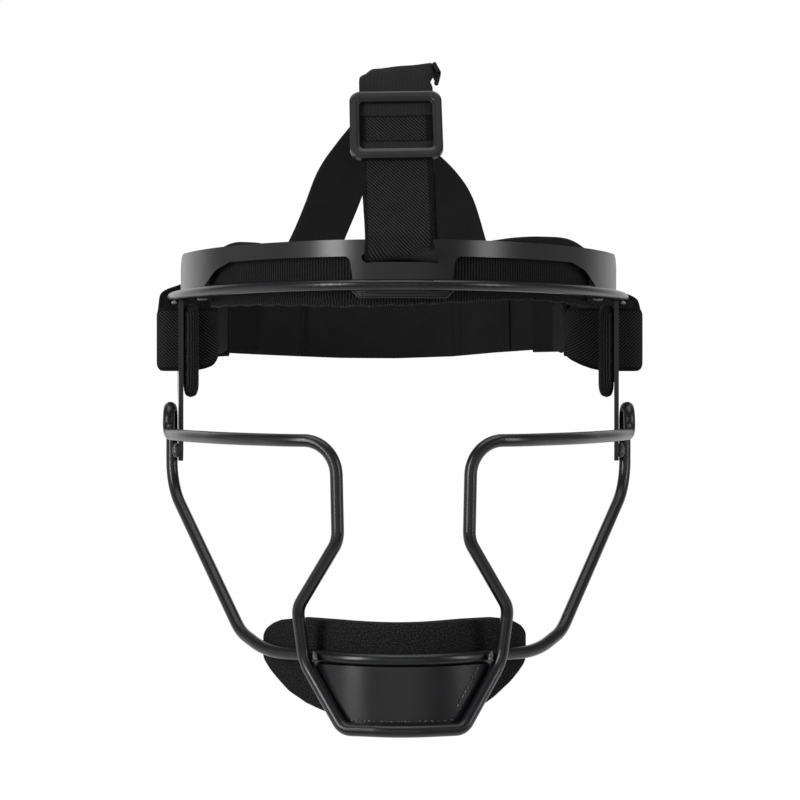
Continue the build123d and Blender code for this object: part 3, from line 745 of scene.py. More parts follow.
class GUARD_OT_crown_strap(bpy.types.Operator):
    """Weave the crown strap from its fold in the plate to the back of the crown"""

    bl_idname = "guard.crown_strap"
    bl_label = "Crown strap"

    def execute(self, context):
        route, length = crown_route()
        fold = length[int(np.argmin(route[:, 2]))]
        length = length - fold
        top = CROWN_RUN

        def rise(_, v):
            """Cupping on the front run, and over the crown a roll to the right with a curled edge.

            Past the top of the run, the strap tilts by r v, its left edge drops and its right
            edge curls down with the square of the distance past its own line.
            """
            s = length[:, None]
            over = eased(s, top - 2 * MM, top + 10 * MM) * (1 - eased(s, top + 66 * MM, top + 92 * MM))
            cup = 0.25 * MM * (v**2 - 0.4) * eased(s, 6 * MM, 14 * MM) * (1 - over)
            roll = 1.5 * MM * v
            left = -3.4 * MM * np.clip((-v - 0.68) / 0.32, 0, 1) ** 1.3
            right = -2.4 * MM * np.clip((v - 0.90) / 0.10, 0, 1) ** 2
            ripple = 0.12 * MM * np.cos(2.2 * pi * v) * np.sin(s / (11 * MM))
            return cup + over * (roll + left + right + ripple - 0.9 * MM)

        # widest at the fold, in the slider and at the roll
        swell = 1.3 * eased(length, 77 * MM, 88 * MM) * (1 - eased(length, 97 * MM, 112 * MM))
        width = (25.7 + 2.4 * np.exp(-((length / (3.6 * MM)) ** 2)) + 2.1 * eased(length, 6 * MM, 44 * MM)
                 + 1.2 * eased(length, 40 * MM, 46 * MM) - 1.3 * eased(length, 66 * MM, 70 * MM)
                 + swell) * MM
        # the return layer lies to the right of the front run, and the roll carries the strap right
        back_layer = 1 - eased(length, -5 * MM, 5 * MM)
        route[:, 0] += (1.9 * back_layer + swell) * MM
        # where the strap bends round the slider's bars and past it, its weave is plain and its colour is
        # painted lighter as a highlight
        plain = ((length > 45.5 * MM) & (length < 50.2 * MM)) | (length > 61.6 * MM)
        weave = np.where(plain, 0, length)
        piece = strap("crown_webbing", route, weave, (1, 0, 0), width, rise=rise, columns=45)
        coat(piece, "twill_elastic")
        # the curled hem: a lip that stands at the roll's right edge, and the roll under it
        depth = np.linspace(34 * MM, 60 * MM, 12)
        hem = np.stack([13.7 * MM + 0 * depth, back(depth), 85.9 * MM + 0 * depth], axis=1)
        lip = strap("lip", hem, 0 * depth, (0.48, 0, -0.88), 5.2 * MM, 1.6 * MM, columns=13)
        roll = tube("roll", hem + (0.7 * MM, 0, -2.5 * MM), 0.95 * MM, 12)
        set_lay(roll.data, np.zeros((len(roll.data.vertices), 2)))
        piece = joined("crown_webbing", [piece, coat(lip, "twill_elastic"), coat(roll, "twill_elastic")])
        settle(piece, "guard", "strap_elastic", "crown_strap")
        return {"FINISHED"}


def slider_frame():
    """Origin and directions of the slider: across, up the strap, out of it."""
    across = unit(np.cross(crown_direction(), crown_out()))
    return crown_foot() + crown_direction() * SLIDER_PLACE, across, crown_direction(), crown_out()


def on_slider(points):
    """Points given across, up and out of the strap at the slider's middle."""
    middle, across, up, out = slider_frame()
    points = np.asarray(points, float)
    return middle + points[..., :1] * across + points[..., 1:2] * up + points[..., 2:] * out


def rounded_box(half_width, half_height, radius, steps=12):
    """A rectangle with round corners, its points in step with any other one's."""
    angle = np.linspace(0, pi / 2, steps)
    turns = np.concatenate([angle + quarter * pi / 2 for quarter in range(4)])
    signs = np.repeat([(1, 1), (-1, 1), (-1, -1), (1, -1)], steps, axis=0)
    corner = signs * (half_width - radius, half_height - radius)
    return corner + radius * np.column_stack([np.cos(turns), np.sin(turns)])


class GUARD_OT_slider(bpy.types.Operator):
    """Cast the three-bar slider as a rounded ring with a middle bar behind the strap"""

    bl_idname = "guard.slider"
    bl_label = "Slider"

    def execute(self, context):
        half_width, half_height, bar = 17.75 * MM, 14.75 * MM, 3.7 * MM
        outer = rounded_box(half_width, half_height, 4.4 * MM)
        inner = rounded_box(half_width - bar, half_height - 4.3 * MM, 1.6 * MM)
        # once round a bar: shares from its inner edge at -1 to its outer edge at 1, and heights in mm
        profile = [
            (0, -1.1), (1, -1.1), (1, 0.85), (0.62, 1.15), (-0.36, 1.15),
            (-0.5, 0.8), (-1, 0.62), (-1, -1.1), (0, -1.1),
        ]
        corners = [(share, height, 0) for share, height in profile]
        loop, _ = rounded_route(corners, [0.1, 0.28, 0.2, 0.2, 0.08, 0.22, 0.1], 0.09)
        share, height = loop[:-1, 0], loop[:-1, 1] * MM
        middle, reach = (outer + inner) / 2, (outer - inner) / 2
        grid = np.concatenate([
            middle[:, None] + reach[:, None] * share[None, :, None],
            np.broadcast_to((2.1 * MM + height)[None, :, None], (len(outer), len(share), 1)),
        ], axis=2)
        grid = np.concatenate([grid, grid[:1]])
        pieces = [surface("slider_ring", on_slider(grid), capped=False)]
        across = np.linspace(-half_width + bar / 2, half_width - bar / 2, 40)
        bar_route = np.stack([across, 0 * across, -3.3 * MM - 0 * across], axis=1)
        bar_route[:, 2] += 4.6 * MM * eased(np.abs(across), 13.4 * MM, 15.8 * MM)
        pieces.append(tube("slider_bar", on_slider(bar_route), 0.9 * MM, 16))
        piece = coat(joined("slider_casting", pieces), "slider_coat")
        settle(piece, "slider", "slider_metal", "slider")
        return {"FINISHED"}


class GUARD_OT_strap_end(bpy.types.Operator):
    """Fold the strap's sewn end round the slider's middle bar"""

    bl_idname = "guard.strap_end"
    bl_label = "Sewn strap end"

    def execute(self, context):
        thickness = 1.2 * MM
        rear, front = -5.0 * MM, -1.8 * MM
        corners = [(0, -4 * MM, rear), (0, 3 * MM, rear), (0, 3 * MM, front), (0, -18 * MM, front)]
        route, length = rounded_route(on_slider(corners), [thickness, thickness], 0.6 * MM)
        piece = strap("strap_end_fold", route, length, (1, 0, 0), 23.2 * MM, thickness)
        coat(piece, "twill_elastic")
        settle(piece, "slider", "strap_elastic", "strap_end_loop")
        return {"FINISHED"}


def back_surface(x, z, drop):
    """The rounded surface at the back of the head.

    Below the shoulder it is an upright ellipse. Above, y falls with sqrt(1 - (x/a)^2 - rise^2).
    """
    rise = np.clip(z - BACK_SHOULDER, 0, None) / (BACK_HEIGHT - BACK_SHOULDER - drop)
    y = BACK_REACH * np.sqrt(np.clip(1 - (x / BACK_HALF_WIDTH) ** 2 - rise**2, 0.001, 1))
    return np.stack([x, y, z], axis=-1)


FORK_SHARES = {
    "left": [(0.03, 0.88), (0.12, 0.775), (0.20, 0.655), (0.264, 0.49), (0.333, 0.315), (0.43, 0.09),
             (0.485, -0.06), (0.515, -0.185)],
    "right": [(0.045, 0.76), (0.12, 0.715), (0.216, 0.625), (0.285, 0.515), (0.345, 0.315), (0.405, 0.10),
              (0.435, -0.08), (0.455, -0.24)],
}


class GUARD_OT_fork_straps(bpy.types.Operator):
    """Lay the two fork straps over the back of the head"""

    bl_idname = "guard.fork_straps"
    bl_label = "Fork straps"

    def execute(self, context):
        for side, sign in SIDES.items():
            drop = 4.6 * MM if sign > 0 else 0
            curve = smooth(FORK_SHARES[side], 110)
            x = sign * curve[:, 0] * BACK_HALF_WIDTH - (4.5 if sign < 0 else 4) * MM
            z = curve[:, 1] * BACK_HEIGHT
            route = back_surface(x, z, drop)
            step = 0.02 * MM
            over = back_surface(x + step, z, drop) - back_surface(x - step, z, drop)
            up = back_surface(x, z + step, drop) - back_surface(x, z - step, drop)
            out = unit(np.cross(up, over))
            across = np.cross(unit(np.gradient(route, axis=0)), out)
            length = lengths_along(route) + PAST_FOLD

            def rise(s, v):
                """A slack ripple that dies out towards the sewn ends."""
                fade = np.exp(-(((s - 55 * MM) / (30 * MM)) ** 2))
                return 0.3 * MM * np.sin(s / (9 * MM) + sign) * v * fade

            piece = strap(f"fork_webbing_{side}", route, length, across, 25 * MM, rise=rise, columns=33)
            coat(piece, "brushed_loop")
            settle(piece, "guard", "strap_elastic", f"fork_strap_{side}")
        return {"FINISHED"}


def rear_plan(angle, inset):
    """A point of the rear strap's plan: an ellipse inset from the back surface."""
    half_width, reach = BACK_HALF_WIDTH - inset, BACK_REACH - inset
    return np.stack([half_width * np.sin(angle), reach * np.cos(angle)], axis=-1)


def rear_angle(x):
    """Where along the rear strap's plan a distance from the middle plane is reached."""
    return np.arcsin(x / (BACK_HALF_WIDTH - REAR_INSET))


def rear_foot(x):
    """Height of the rear strap's lower edge: it sags towards the middle."""
    return traced(
        x,
        [-74, -56, -25, 0, 25, 44, 68, 74],
        [-22.6, -23.2, -24.2, -24.3, -23.5, -21.9, -20.5, -20.4],
    )


def rear_band(name, start, stop, inset, thickness, shy=0.0, count=60):
    """A stretch of the rear strap's cloth at an inset, its edges a little shy of the strap's own."""
    angle = np.linspace(rear_angle(start), rear_angle(stop), count)
    plan = rear_plan(angle, inset)
    foot = rear_foot(plan[:, 0]) + shy
    top = 14 * MM - shy
    route = np.column_stack([plan, (top + foot) / 2])
    length = lengths_along(route) + PAST_FOLD
    return coat(strap(name, route, length, (0, 0, 1), top - foot, thickness, columns=41), "brushed_loop")


def rear_rows(name, places):
    """Upright rows of stitches on the inner face of the rear strap."""
    spots = []
    inward = []
    for x, inset in places:
        pair = rear_plan(np.array([rear_angle(x)]), inset)[0]
        out = unit(np.array([pair[0] / BACK_HALF_WIDTH**2, pair[1] / BACK_REACH**2, 0]))
        heights = np.arange(rear_foot(x) + 1.6 * MM, 12.5 * MM, 2.6 * MM)
        spots += [(pair[0], pair[1], height) for height in heights]
        inward += [-out] * len(heights)
    return stitches(name, spots, [UP] * len(spots), inward, 2.1 * MM, 0.26 * MM)


class GUARD_OT_rear_strap(bpy.types.Operator):
    """Hang the rear strap round the back of the head, with the ends sewn back on it"""

    bl_idname = "guard.rear_strap"
    bl_label = "Rear strap"

    def execute(self, context):
        inner = REAR_INSET + 1.45 * MM
        face = inner + 0.62 * MM
        pieces = [
            rear_band("rear_webbing", -74.2 * MM, 74.2 * MM, REAR_INSET, STRAP_THICKNESS, count=150),
            rear_band("rear_patch_right", 27 * MM, 51.7 * MM, inner, 1.2 * MM, 0.35 * MM),
            rear_band("rear_patch_left", -66.5 * MM, -42 * MM, inner, 1.2 * MM, 0.35 * MM),
            rear_rows("rear_stitches", [(x * MM, face) for x in (29.8, 49.5, -65, -42.9, -44.2)]),
        ]
        settle(joined("rear_webbing", pieces), "guard", "strap_elastic", "rear_strap")
        return {"FINISHED"}


# For each side, how far out the side strap's outer and inner layers lie, and the height of
# its top edge at some depths, all but the first in millimetres
SIDE_LAYERS = {"left": (100.9 * MM, 76.4 * MM), "right": (102.2 * MM, 70.4 * MM)}
SIDE_DEPTHS = [104, 112, 122, 135, 150, 160]
SIDE_TOPS = {
    "left": [-4.6, -4.2, 1.5, 6.0, 11.5, 14.0],
    "right": [-4.6, -4.2, -1.0, 3.5, 10.5, 14.0],
}


class GUARD_OT_side_straps(bpy.types.Operator):
    """Fold the rear strap's ends through the strut slots"""

    bl_idname = "guard.side_straps"
    bl_label = "Side straps"

    def execute(self, context):
        end_x, end = 74.23 * MM, 54.87 * MM
        slot_y = back(106.25 * MM)
        for side, sign in SIDES.items():
            outer, inner = SIDE_LAYERS[side]
            corners = np.array([
                (end_x, end, 0),
                (outer, back(128 * MM), 0),
                (outer, slot_y, 0),
                (inner, slot_y, 0),
                (inner - 1.5 * MM, back(150 * MM), 0),
            ]) * (sign, 1, 1)
            route, length = rounded_route(corners, [16 * MM, 4.5 * MM, 6 * MM], 0.7 * MM)
            depth = route[:, 1] + HEAD_CENTRE
            slot = int(np.argmin(np.where(depth < 112 * MM, abs(abs(route[:, 0]) - STRUT_FACE), 1)))
            past = length - length[slot]
            inside = past > 0
            top = traced(depth, SIDE_DEPTHS, SIDE_TOPS[side])
            foot = -31.2 * MM + 7.2 * MM * eased(depth, 118 * MM, 160 * MM)
            lifted = traced(
                past, [0, 4, 8, 12, 17, 24, 58], [-31.2, -31.0, -30.2, -28.8, -26.4, -24.0, -21.5]
            )
            foot = np.where(inside, lifted, foot)
            top = np.where(inside, -4.4 * MM + 3.0 * MM * eased(past, 20 * MM, 50 * MM), top)
            # the folded corners of the loop are rounded off
            near = 1 - eased(depth, 112 * MM, 124 * MM)
            for line, side_of in ((outer, 1), (inner, -1)):
                reach = np.clip(1 - side_of * (line - abs(route[:, 0])) / (2.6 * MM), 0, 1)
                shy = 2.2 * MM * (1 - np.sqrt(1 - reach**2)) * near
                top = top - shy
                foot = foot + shy
            route[:, 2] = (top + foot) / 2
            along = unit(np.gradient(route, axis=0) * (1, 1, 0))
            out = np.cross(UP, along)
            v, height = section(STRAP_THICKNESS, 33)
            grid = route[:, None] + out[:, None] * height[None, :, None]
            grid[..., 2] = ((top + foot)[:, None] + (top - foot)[:, None] * v[None, :]) / 2
            wide = 13.2 * MM * v
            lay = np.stack(np.broadcast_arrays(length[:, None] + PAST_FOLD, wide[None, :]), axis=-1)
            piece = coat(surface(f"side_webbing_{side}", grid, lay=lay), "twill_elastic")
            settle(piece, "guard", "strap_elastic", f"side_strap_{side}")
        return {"FINISHED"}


class GUARD_OT_hook_tabs(bpy.types.Operator):
    """Press the hook tabs against the inside of the rear strap"""

    bl_idname = "guard.hook_tabs"
    bl_label = "Hook tabs"

    def execute(self, context):
        half_width, reach = BACK_HALF_WIDTH - 3.4 * MM, BACK_REACH - 3.4 * MM
        x = 69.45 * MM
        y = reach * sqrt(1 - (x / half_width) ** 2)
        run = np.linspace(-10.3 * MM, 10.3 * MM, 16)
        row = np.outer(np.arange(-13.5 * MM, 13.6 * MM, 2.6 * MM), UP)
        for side, sign in SIDES.items():
            out = unit(np.array([sign * x / half_width**2, y / reach**2, 0]))
            along = np.array([out[1], -out[0], 0])
            middle = np.array([sign * x, y, -7 * MM]) - out * 1.8 * MM
            tape = strap("tape", middle + along * run[:, None], run + 30 * MM, UP, 30 * MM, 1.5 * MM)
            rows = np.concatenate([along * 8.6 * MM + row, along * -8.6 * MM + row])
            spots = middle - out * 0.75 * MM + rows
            count = len(spots)
            sewn = stitches("sewn", spots, [UP] * count, [-out] * count, 2.1 * MM, 0.25 * MM)
            piece = joined(f"hook_tape_{side}", [coat(tape, "hook_rows"), sewn])
            settle(piece, f"hook_tab_{side}", "hook_tape", f"hook_tab_{side}")
        return {"FINISHED"}


# Pads

def pillow(name, centre, out, half, thickness, foot, top, rows=36, crisp=8):
    """A pad's closed skin along a plan curve, before it is blown up.

    centre and out are the points of the plan and its directions out of the front face.
    At v from -1 at the foot to 1 at the top, and u from -1 to 1 between the ends, the skin
    stands half the thickness times (1 - |v|^n)^(1/n) (1 - |u|^n)^(1/n) off the middle.
    foot and top are heights along the curve, and the skin narrows to a quarter of them at the
    ends; half is how far each point lies from the middle.
    """
    u = np.where(half < 0, -half / half.min(), half / half.max())
    ends = np.clip(1 - abs(u) ** crisp, 0.002, 1) ** (1 / crisp)
    turn = np.linspace(0, 2 * pi, 2 * rows, endpoint=False)
    power = 2 / crisp
    v = np.sign(np.sin(turn)) * abs(np.sin(turn)) ** power
    off = np.sign(np.cos(turn)) * abs(np.cos(turn)) ** power
    middle = (top + foot) / 2
    tall = (top - foot) / 2
    grid = centre[:, None] + out[:, None] * (off[None, :] * ends[:, None] * thickness / 2)[..., None]
    grid[..., 2] = middle[:, None] + tall[:, None] * v[None, :] * (0.25 + 0.75 * ends[:, None])
    lay = np.stack(np.broadcast_arrays(half[:, None], grid[..., 2]), axis=-1)
    return surface(name, grid, lay=lay)


def blow_up(piece, pressure, cap, pinned, frames=14):
    """Blow a pad's skin up as cloth with its seams held. No point moves further than the cap."""
    group = piece.vertex_groups.new(name="seam")
    group.add(np.flatnonzero(pinned).tolist(), 1.0, "REPLACE")
    start = points_of(piece.data)
    modifier = piece.modifiers.new("cloth", "CLOTH")
    cloth = modifier.settings
    cloth.use_pressure = True
    cloth.uniform_pressure_force = pressure
    cloth.effector_weights.gravity = 0
    cloth.tension_stiffness = 10
    cloth.compression_stiffness = 10
    cloth.bending_stiffness = 1.0
    cloth.quality = 5
    cloth.vertex_group_mass = "seam"
    scene = bpy.context.scene
    for number in range(1, frames + 1):
        scene.frame_set(number)
    shown = piece.evaluated_get(bpy.context.evaluated_depsgraph_get())
    blown = points_of(shown.data)
    piece.modifiers.remove(modifier)
    scene.frame_set(1)
    shift = blown - start
    far = np.linalg.norm(shift, axis=1, keepdims=True)
    move_points(piece.data, start + shift * np.minimum(1, cap / np.maximum(far, 1e-9)))
    return piece


def brow_plan(inset, depth, count):
    """Points of the brow's ellipse moved in by an inset, and their directions out, end to end.

    The ellipse is x = a sin(t), y = c - b cos(t), with t to where y reaches the depth.
    """
    limit = np.arccos(1 - depth / BROW_REACH)
    angle = np.linspace(-limit, limit, count)
    x, y = BROW_HALF_WIDTH * np.sin(angle), back(BROW_REACH) - BROW_REACH * np.cos(angle)
    out = unit(np.stack([np.sin(angle) / BROW_HALF_WIDTH, -np.cos(angle) / BROW_REACH, 0 * angle], axis=-1))
    return np.stack([x, y, 0 * x], axis=-1) - out * inset, out


def chin_plan(inset, left, right, count):
    """Points of the chin's plan at an inset from the crossbar, and their directions out.

    The heading rises over the round part to 39.4 degrees, stays, and turns in by 16 more
    degrees at the tips; the points are the sums of the steps along it.
    """
    half = np.linspace(-left, right, count)
    run = abs(half)
    bend, tip = radians(39.4), radians(16)
    heading = bend * np.clip(run / (44 * MM * bend), 0, 1) + tip * eased(run, 46 * MM, 62 * MM)
    heading = np.sign(half) * heading
    step = half[1] - half[0]
    middle = (heading[1:] + heading[:-1]) / 2
    x = np.concatenate([[0], np.cumsum(np.cos(middle) * step)])
    y = np.concatenate([[0], np.cumsum(np.sin(middle) * step)])
    x, y = x - np.interp(0, half, x), y - np.interp(0, half, y)
    out = np.stack([np.sin(heading), -np.cos(heading), 0 * x], axis=-1)
    points = np.stack([x, y + back(-6 * MM), 0 * x], axis=-1)
    return points - out * inset, out, half


def bumps(x, places):
    """A sum of low bumps h exp(-((x - p) / w)^2), each given by its p, w and h in millimetres."""
    return sum(h * MM * np.exp(-(((x - p * MM) / (w * MM)) ** 2)) for p, w, h in places)


def overlock(name, route, out, tall, pitch=0.9 * MM):
    """Overlock stitches that stand side by side across an edge."""
    length = lengths_along(route)
    spots = np.arange(pitch, length[-1], pitch)
    points = np.stack([np.interp(spots, length, route[:, axis]) for axis in range(3)], axis=-1)
    normals = np.stack([np.interp(spots, length, out[:, axis]) for axis in range(3)], axis=-1)
    lean = unit(np.gradient(points, axis=0)) * 0.25
    return stitches(name, points, np.array(UP) + lean, normals, tall, 0.24 * MM, "binding_tape")


class GUARD_OT_forehead_pad(bpy.types.Operator):
    """Pad the forehead behind the brow plate, with an overlocked hem that shows under the bar"""

    bl_idname = "guard.forehead_pad"
    bl_label = "Forehead pad"

    def execute(self, context):
        front = 5.2 * MM
        thick = 10.6 * MM
        stations = 171
        centre, out = brow_plan(front + thick / 2, 71.0 * MM, stations)
        half = lengths_along(centre)
        half = half - half[-1] / 2
        x = centre[:, 0]
        wavy = traced(
            x,
            [-78, -60, -40, -26, -10, 5, 20, 35, 50, 65, 78],
            [-6.0, -6.3, -7.2, -8.0, -7.9, -7.3, -6.4, -5.2, -4.5, -5.0, -6.4],
        )
        top = 17.0 * MM + bumps(x, ((-62, 7, 2.3), (50, 14, 3.2), (64, 9, 2.6)))
        notch = 2.4 * MM * (1 - eased(abs(x), 15.6 * MM, 18 * MM))
        cushion = pillow("cushion", centre, out, half, thick, wavy + 1.6 * MM, top)
        points = points_of(cushion.data).reshape(stations, -1, 3)
        upper = eased(points[..., 2], 5 * MM, 9 * MM) * notch[:, None]
        forward = np.einsum("ijk,ik->ij", points - centre[:, None], out) > -3 * MM
        points = points - out[:, None] * (upper * forward)[..., None]
        move_points(cushion.data, points)
        low = points[..., 2] < (wavy + 2.4 * MM)[:, None]
        high = points[..., 2] > (top - 0.8 * MM)[:, None]
        held = abs(x)[:, None] < 19 * MM
        blow_up(cushion, pressure=2.5, cap=1.2 * MM, pinned=(low | high | held).reshape(-1))
        coat(cushion, "ribbed_knit")

        # the hem: a flat band with a wavy lower edge
        hem_centre, hem_out = brow_plan(front + 1.1 * MM, 66 * MM, stations)
        scallop = 0.22 * MM * np.sin(lengths_along(hem_centre) / (1.9 * MM))
        foot = np.interp(hem_centre[:, 0], x, wavy) + scallop
        hem = hem_centre.copy()
        hem[:, 2] = foot + 1.5 * MM
        band = strap("hem", hem, lengths_along(hem), (0, 0, 1), 3.0 * MM, 1.5 * MM, columns=15)
        coat(band, "ribbed_knit")
        edge = hem.copy()
        edge[:, 2] = foot + 0.25 * MM
        sewn = overlock("overlock", edge + hem_out * 0.55 * MM, hem_out, 0.95 * MM)
        piece = joined("forehead_cushion", [cushion, band, sewn])
        settle(piece, "forehead_pad", "pad_knit", "forehead_pad_cover", "forehead_pad_foam")
        return {"FINISHED"}


class GUARD_OT_chin_pad(bpy.types.Operator):
    """Pad the chin behind the chin plate, with a loop patch that the hook strip grips"""

    bl_idname = "guard.chin_pad"
    bl_label = "Chin pad"

    def execute(self, context):
        thick = 11.4 * MM
        stations = 151
        centre, out, half = chin_plan(3.5 * MM + thick / 2, 75.0 * MM, 64.8 * MM, stations)
        x = centre[:, 0] + 0.2 * thick * out[:, 0]
        face_x = centre[:, 0] + 0.30 * thick * out[:, 0]
        top = traced(
            x,
            [-54, -53.3, -52, -50.5, -48, -45, -40, 38, 41, 44, 46, 47.6, 48.6],
            [-140, -136.5, -133.4, -131.3, -129.4, -128, -127,
             -127, -127.9, -129.6, -131.6, -134.5, -139],
        ) + bumps(x, ((-4, 18, -0.2), (24, 12, 0.3)))
        foot = traced(
            face_x,
            [-54, -53, -49.5, -42.4, -35.8, -30.2, -25, 25, 30.6, 34.3, 40.6, 46.4, 48.6],
            [-142, -145, -149, -155.4, -159.2, -161.2, -162.6,
             -162.6, -159, -156.8, -151.8, -146, -142.5],
        )
        cushion = pillow("cushion", centre, out, half, thick, foot, top, crisp=10)
        height = points_of(cushion.data)[:, 2].reshape(stations, -1)
        rim = ((half < -70 * MM) | (half > 62 * MM))[:, None]
        seams = rim | (height > (top - 0.7 * MM)[:, None]) | (height < (foot + 0.7 * MM)[:, None])
        blow_up(cushion, pressure=2.5, cap=1.0 * MM, pinned=seams.reshape(-1))
        coat(cushion, "loop_pile")
        cushion.name = "chin_cushion"
        settle(cushion, "chin_pad", "pad_knit", "chin_pad_cover", "chin_pad_foam")

        patch, _, patch_half = chin_plan(2.15 * MM, 20.4 * MM, 20.4 * MM, 61)
        patch[:, 2] = -153.25 * MM
        loops = strap("loop_patch", patch, patch_half + 40 * MM, (0, 0, 1), 13.4 * MM, 1.9 * MM, columns=25)
        coat(loops, "loop_pile")
        settle(loops, "chin_pad", "pad_knit", "chin_loop_patch")
        return {"FINISHED"}


class GUARD_OT_temple_pads(bpy.types.Operator):
    """Pad the inner faces of the struts with tongues that have a seam down their length"""

    bl_idname = "guard.temple_pads"
    bl_label = "Temple pads"

    def execute(self, context):
        # across the tongue and along it: an upright lens with round ends
        rows, columns = 61, 40
        t = np.linspace(-1, 1, rows)[:, None]
        turn = np.linspace(0, 2 * pi, columns, endpoint=False)[None, :]
        reach = np.sqrt(np.clip(1 - (np.clip(abs(t) - 0.70, 0, 1) / 0.30) ** 2, 0.0004, 1))
        half_width, half_thickness, half_length = 6.1 * MM, 2.95 * MM, 19.4 * MM
        wide = half_width * reach * np.sign(np.cos(turn)) * abs(np.cos(turn)) ** 0.6
        thick = half_thickness * reach**0.6 * np.sign(np.sin(turn)) * abs(np.sin(turn)) ** 0.6
        ridge = 0.45 * MM * np.exp(-((wide / (0.9 * MM)) ** 2)) * (np.sin(turn) > 0) * reach
        seams = (abs(t) > 0.93).repeat(columns, axis=1).reshape(-1)
        for side, sign in SIDES.items():
            x = sign * (85.9 * MM - thick - ridge)
            y = back(98.4 * MM) + wide
            x = x + sign * (y - back(91.8 * MM)) * tan(STRUT_FLARE)
            z = -22.7 * MM + half_length * t + 0 * turn
            grid = np.stack(np.broadcast_arrays(x, y, z), axis=-1)
            lay = np.stack(np.broadcast_arrays(wide + thick, z), axis=-1)
            piece = surface(f"temple_cushion_{side}", grid, lay=lay)
            blow_up(piece, pressure=1.5, cap=0.4 * MM, pinned=seams, frames=10)
            coat(piece, "ribbed_knit")
            settle(piece, f"temple_pad_{side}", "pad_knit",
                   f"temple_pad_cover_{side}", f"temple_pad_foam_{side}")
        return {"FINISHED"}


class GUARD_OT_hook_strips(bpy.types.Operator):
    """Finish the hook strips that hold the pads"""

    bl_idname = "guard.hook_strips"
    bl_label = "Hook strips"

    def execute(self, context):
        for name in ("forehead_hook_strips", "chin_hook_strip",
                     "temple_hook_strip_left", "temple_hook_strip_right"):
            x, y, z = points_of(nodes[name].data).T
            set_lay(nodes[name].data, np.column_stack([x + y, z]))
            coat(nodes[name], "hook_rows")
        return {"FINISHED"}


# Stage

def emitting(name, strength, plain):
    """A white surface that the camera and mirrors see as white, and that other light sees as plain."""
    material = bpy.data.materials.new(name)
    material.use_nodes = True
    tree = material.node_tree
    tree.nodes.clear()
    wall = Nodes(tree)
    paths = wall.node("ShaderNodeLightPath").socket.node.outputs
    camera, gloss, glass = (
        Reading(wall, paths[f"Is {kind} Ray"]) for kind in ("Camera", "Glossy", "Transmission")
    )
    seen = glass.maths("MAXIMUM", camera.maths("MAXIMUM", camera, gloss), glass)
    glow = wall.node("ShaderNodeEmission", values={"Strength": strength})
    matt = wall.node("ShaderNodeBsdfDiffuse", values={"Color": (plain, plain, plain, 1)})
    mix = wall.node("ShaderNodeMixShader", values={0: seen, 1: matt, 2: glow})
    output = tree.nodes.new("ShaderNodeOutputMaterial")
    tree.links.new(mix.socket, output.inputs["Surface"])
    return material


def lamp(name, place, target, size, power):
    """A soft square lamp that faces its target."""
    light = bpy.data.lights.new(name, "AREA")
    light.shape = "RECTANGLE"
    light.size, light.size_y = size
    light.energy = power
    piece = bpy.data.objects.new(name, light)
    bpy.context.scene.collection.objects.link(piece)
    direction = np.asarray(target, float) - np.asarray(place, float)
    tilt = atan2(hypot(direction[0], direction[1]), -direction[2])
    piece.location = place
    piece.rotation_euler = (tilt, 0, atan2(direction[1], direction[0]) - pi / 2)


def white_room(room_light):
    """Surroundings that the camera sees as white and that light the guard evenly.

    What the coat mirrors depends on its direction: white behind the guard and above it,
    a grey panel straight ahead, darker bands beside it, and some light from the sides and below.
    """
    world = bpy.data.worlds.new("white_room")
    world.use_nodes = True
    room = Nodes(world.node_tree)
    x, y, z = room.parts(room.node("ShaderNodeTexCoord", output="Object"))
    behind = y.step(0.54, 0.86) * (1.12 - x.step(0.1, 0.5) * 0.42)
    ahead = (0 - y).step(0.84, 0.96) * 0.48
    beside = abs(x).step(0.80, 0.95) * (0.30 - x * 0.10)
    above = z.step(0.82, 0.93) * 1.2
    below = (0 - z).step(0.40, 0.70) * 0.3
    mirrored = behind + ahead + beside + above + below + 0.14
    paths = room.node("ShaderNodeLightPath").socket.node.outputs
    seen = Reading(room, paths["Is Camera Ray"])
    gloss = Reading(room, paths["Is Glossy Ray"])
    strength = seen + gloss * mirrored + (1 - seen) * (1 - gloss) * room_light
    sky = world.node_tree.nodes["Background"]
    sky.inputs["Color"].default_value = (1, 1, 1, 1)
    world.node_tree.links.new(strength.socket, sky.inputs["Strength"])
    return world


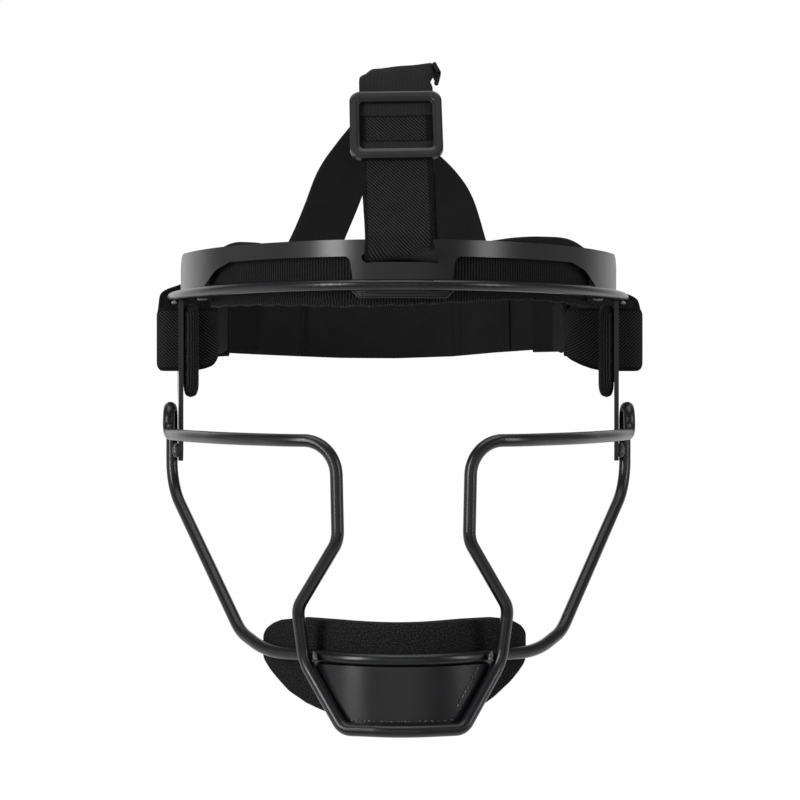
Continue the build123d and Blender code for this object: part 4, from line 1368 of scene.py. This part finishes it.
class GUARD_OT_stage(bpy.types.Operator):
    """Set the camera, the white surroundings and the soft lamps"""

    bl_idname = "guard.stage"
    bl_label = "Stage"

    def execute(self, context):
        scene = context.scene
        settings = scene.guard_stage
        scene.view_settings.view_transform = "Standard"
        eye = bpy.data.cameras.new("camera")
        eye.lens = settings.lens
        eye.sensor_width = SENSOR
        camera = bpy.data.objects.new("camera", eye)
        scene.collection.objects.link(camera)
        camera.location = EYE
        camera.rotation_euler = (pi / 2, 0, EYE_TURN)
        scene.camera = camera

        low = cad_box[0][2] - settings.floor_gap
        corners = [(-3, -0.25, low), (3, -0.25, low), (3, 3, low), (-3, 3, low)]
        floor = new_piece("floor", corners, [(0, 1, 2, 3)])
        floor.data.materials.append(emitting("white_floor", 1.0, 0.8))

        scene.world = white_room(settings.room_light)
        face, tall = (0, -0.08, 0), (0.30, 0.8)
        lamp("lamp_left", (-0.85, -0.85, 0.2), face, tall, settings.side_lamp)
        lamp("lamp_right", (1.0, -0.65, 0.2), face, tall, settings.side_lamp * 0.45)
        lamp("lamp_top", (0, -0.2, 1.3), (0, 0, 0), (1.2, 0.8), settings.top_lamp)
        return {"FINISHED"}


class GuardStage(bpy.types.PropertyGroup):
    lens: bpy.props.FloatProperty(
        name="Lens", description="Focal length of the camera on a 36 mm sensor",
        default=108.0, unit="CAMERA"
    )
    floor_gap: bpy.props.FloatProperty(
        name="Floor gap", description="How far the floor lies under the guard",
        default=0.25, unit="LENGTH"
    )
    room_light: bpy.props.FloatProperty(
        name="Room light", description="Strength of the white surroundings on the guard", default=0.30
    )
    side_lamp: bpy.props.FloatProperty(
        name="Side lamps", description="Power of the left lamp", default=8.8, unit="POWER"
    )
    top_lamp: bpy.props.FloatProperty(
        name="Top lamp", description="Power of the top lamp", default=3.0, unit="POWER"
    )


OPERATORS = (
    GUARD_OT_stage,
    GUARD_OT_frame,
    GUARD_OT_boss,
    GUARD_OT_welds,
    GUARD_OT_crown_strap,
    GUARD_OT_slider,
    GUARD_OT_strap_end,
    GUARD_OT_fork_straps,
    GUARD_OT_rear_strap,
    GUARD_OT_side_straps,
    GUARD_OT_hook_tabs,
    GUARD_OT_forehead_pad,
    GUARD_OT_chin_pad,
    GUARD_OT_temple_pads,
    GUARD_OT_hook_strips,
)


class GUARD_PT_panel(bpy.types.Panel):
    """Lists the guard's pieces and the stage's values"""

    bl_idname = "GUARD_PT_panel"
    bl_label = "Face guard"
    bl_space_type = "VIEW_3D"
    bl_region_type = "UI"
    bl_category = "Guard"

    def draw(self, context):
        for operator in OPERATORS:
            self.layout.operator(operator.bl_idname)
        for name in GuardStage.__annotations__:
            self.layout.prop(context.scene.guard_stage, name)


CLASSES = (GuardStage, *OPERATORS, GUARD_PT_panel)


def register():
    for item in CLASSES:
        bpy.utils.register_class(item)
    bpy.types.Scene.guard_stage = bpy.props.PointerProperty(type=GuardStage)


def unregister():
    del bpy.types.Scene.guard_stage
    for item in reversed(CLASSES):
        bpy.utils.unregister_class(item)


def main():
    register()
    for operator in OPERATORS:
        group, name = operator.bl_idname.split(".")
        getattr(getattr(bpy.ops, group), name)()


if __name__ == "__main__":
    main()
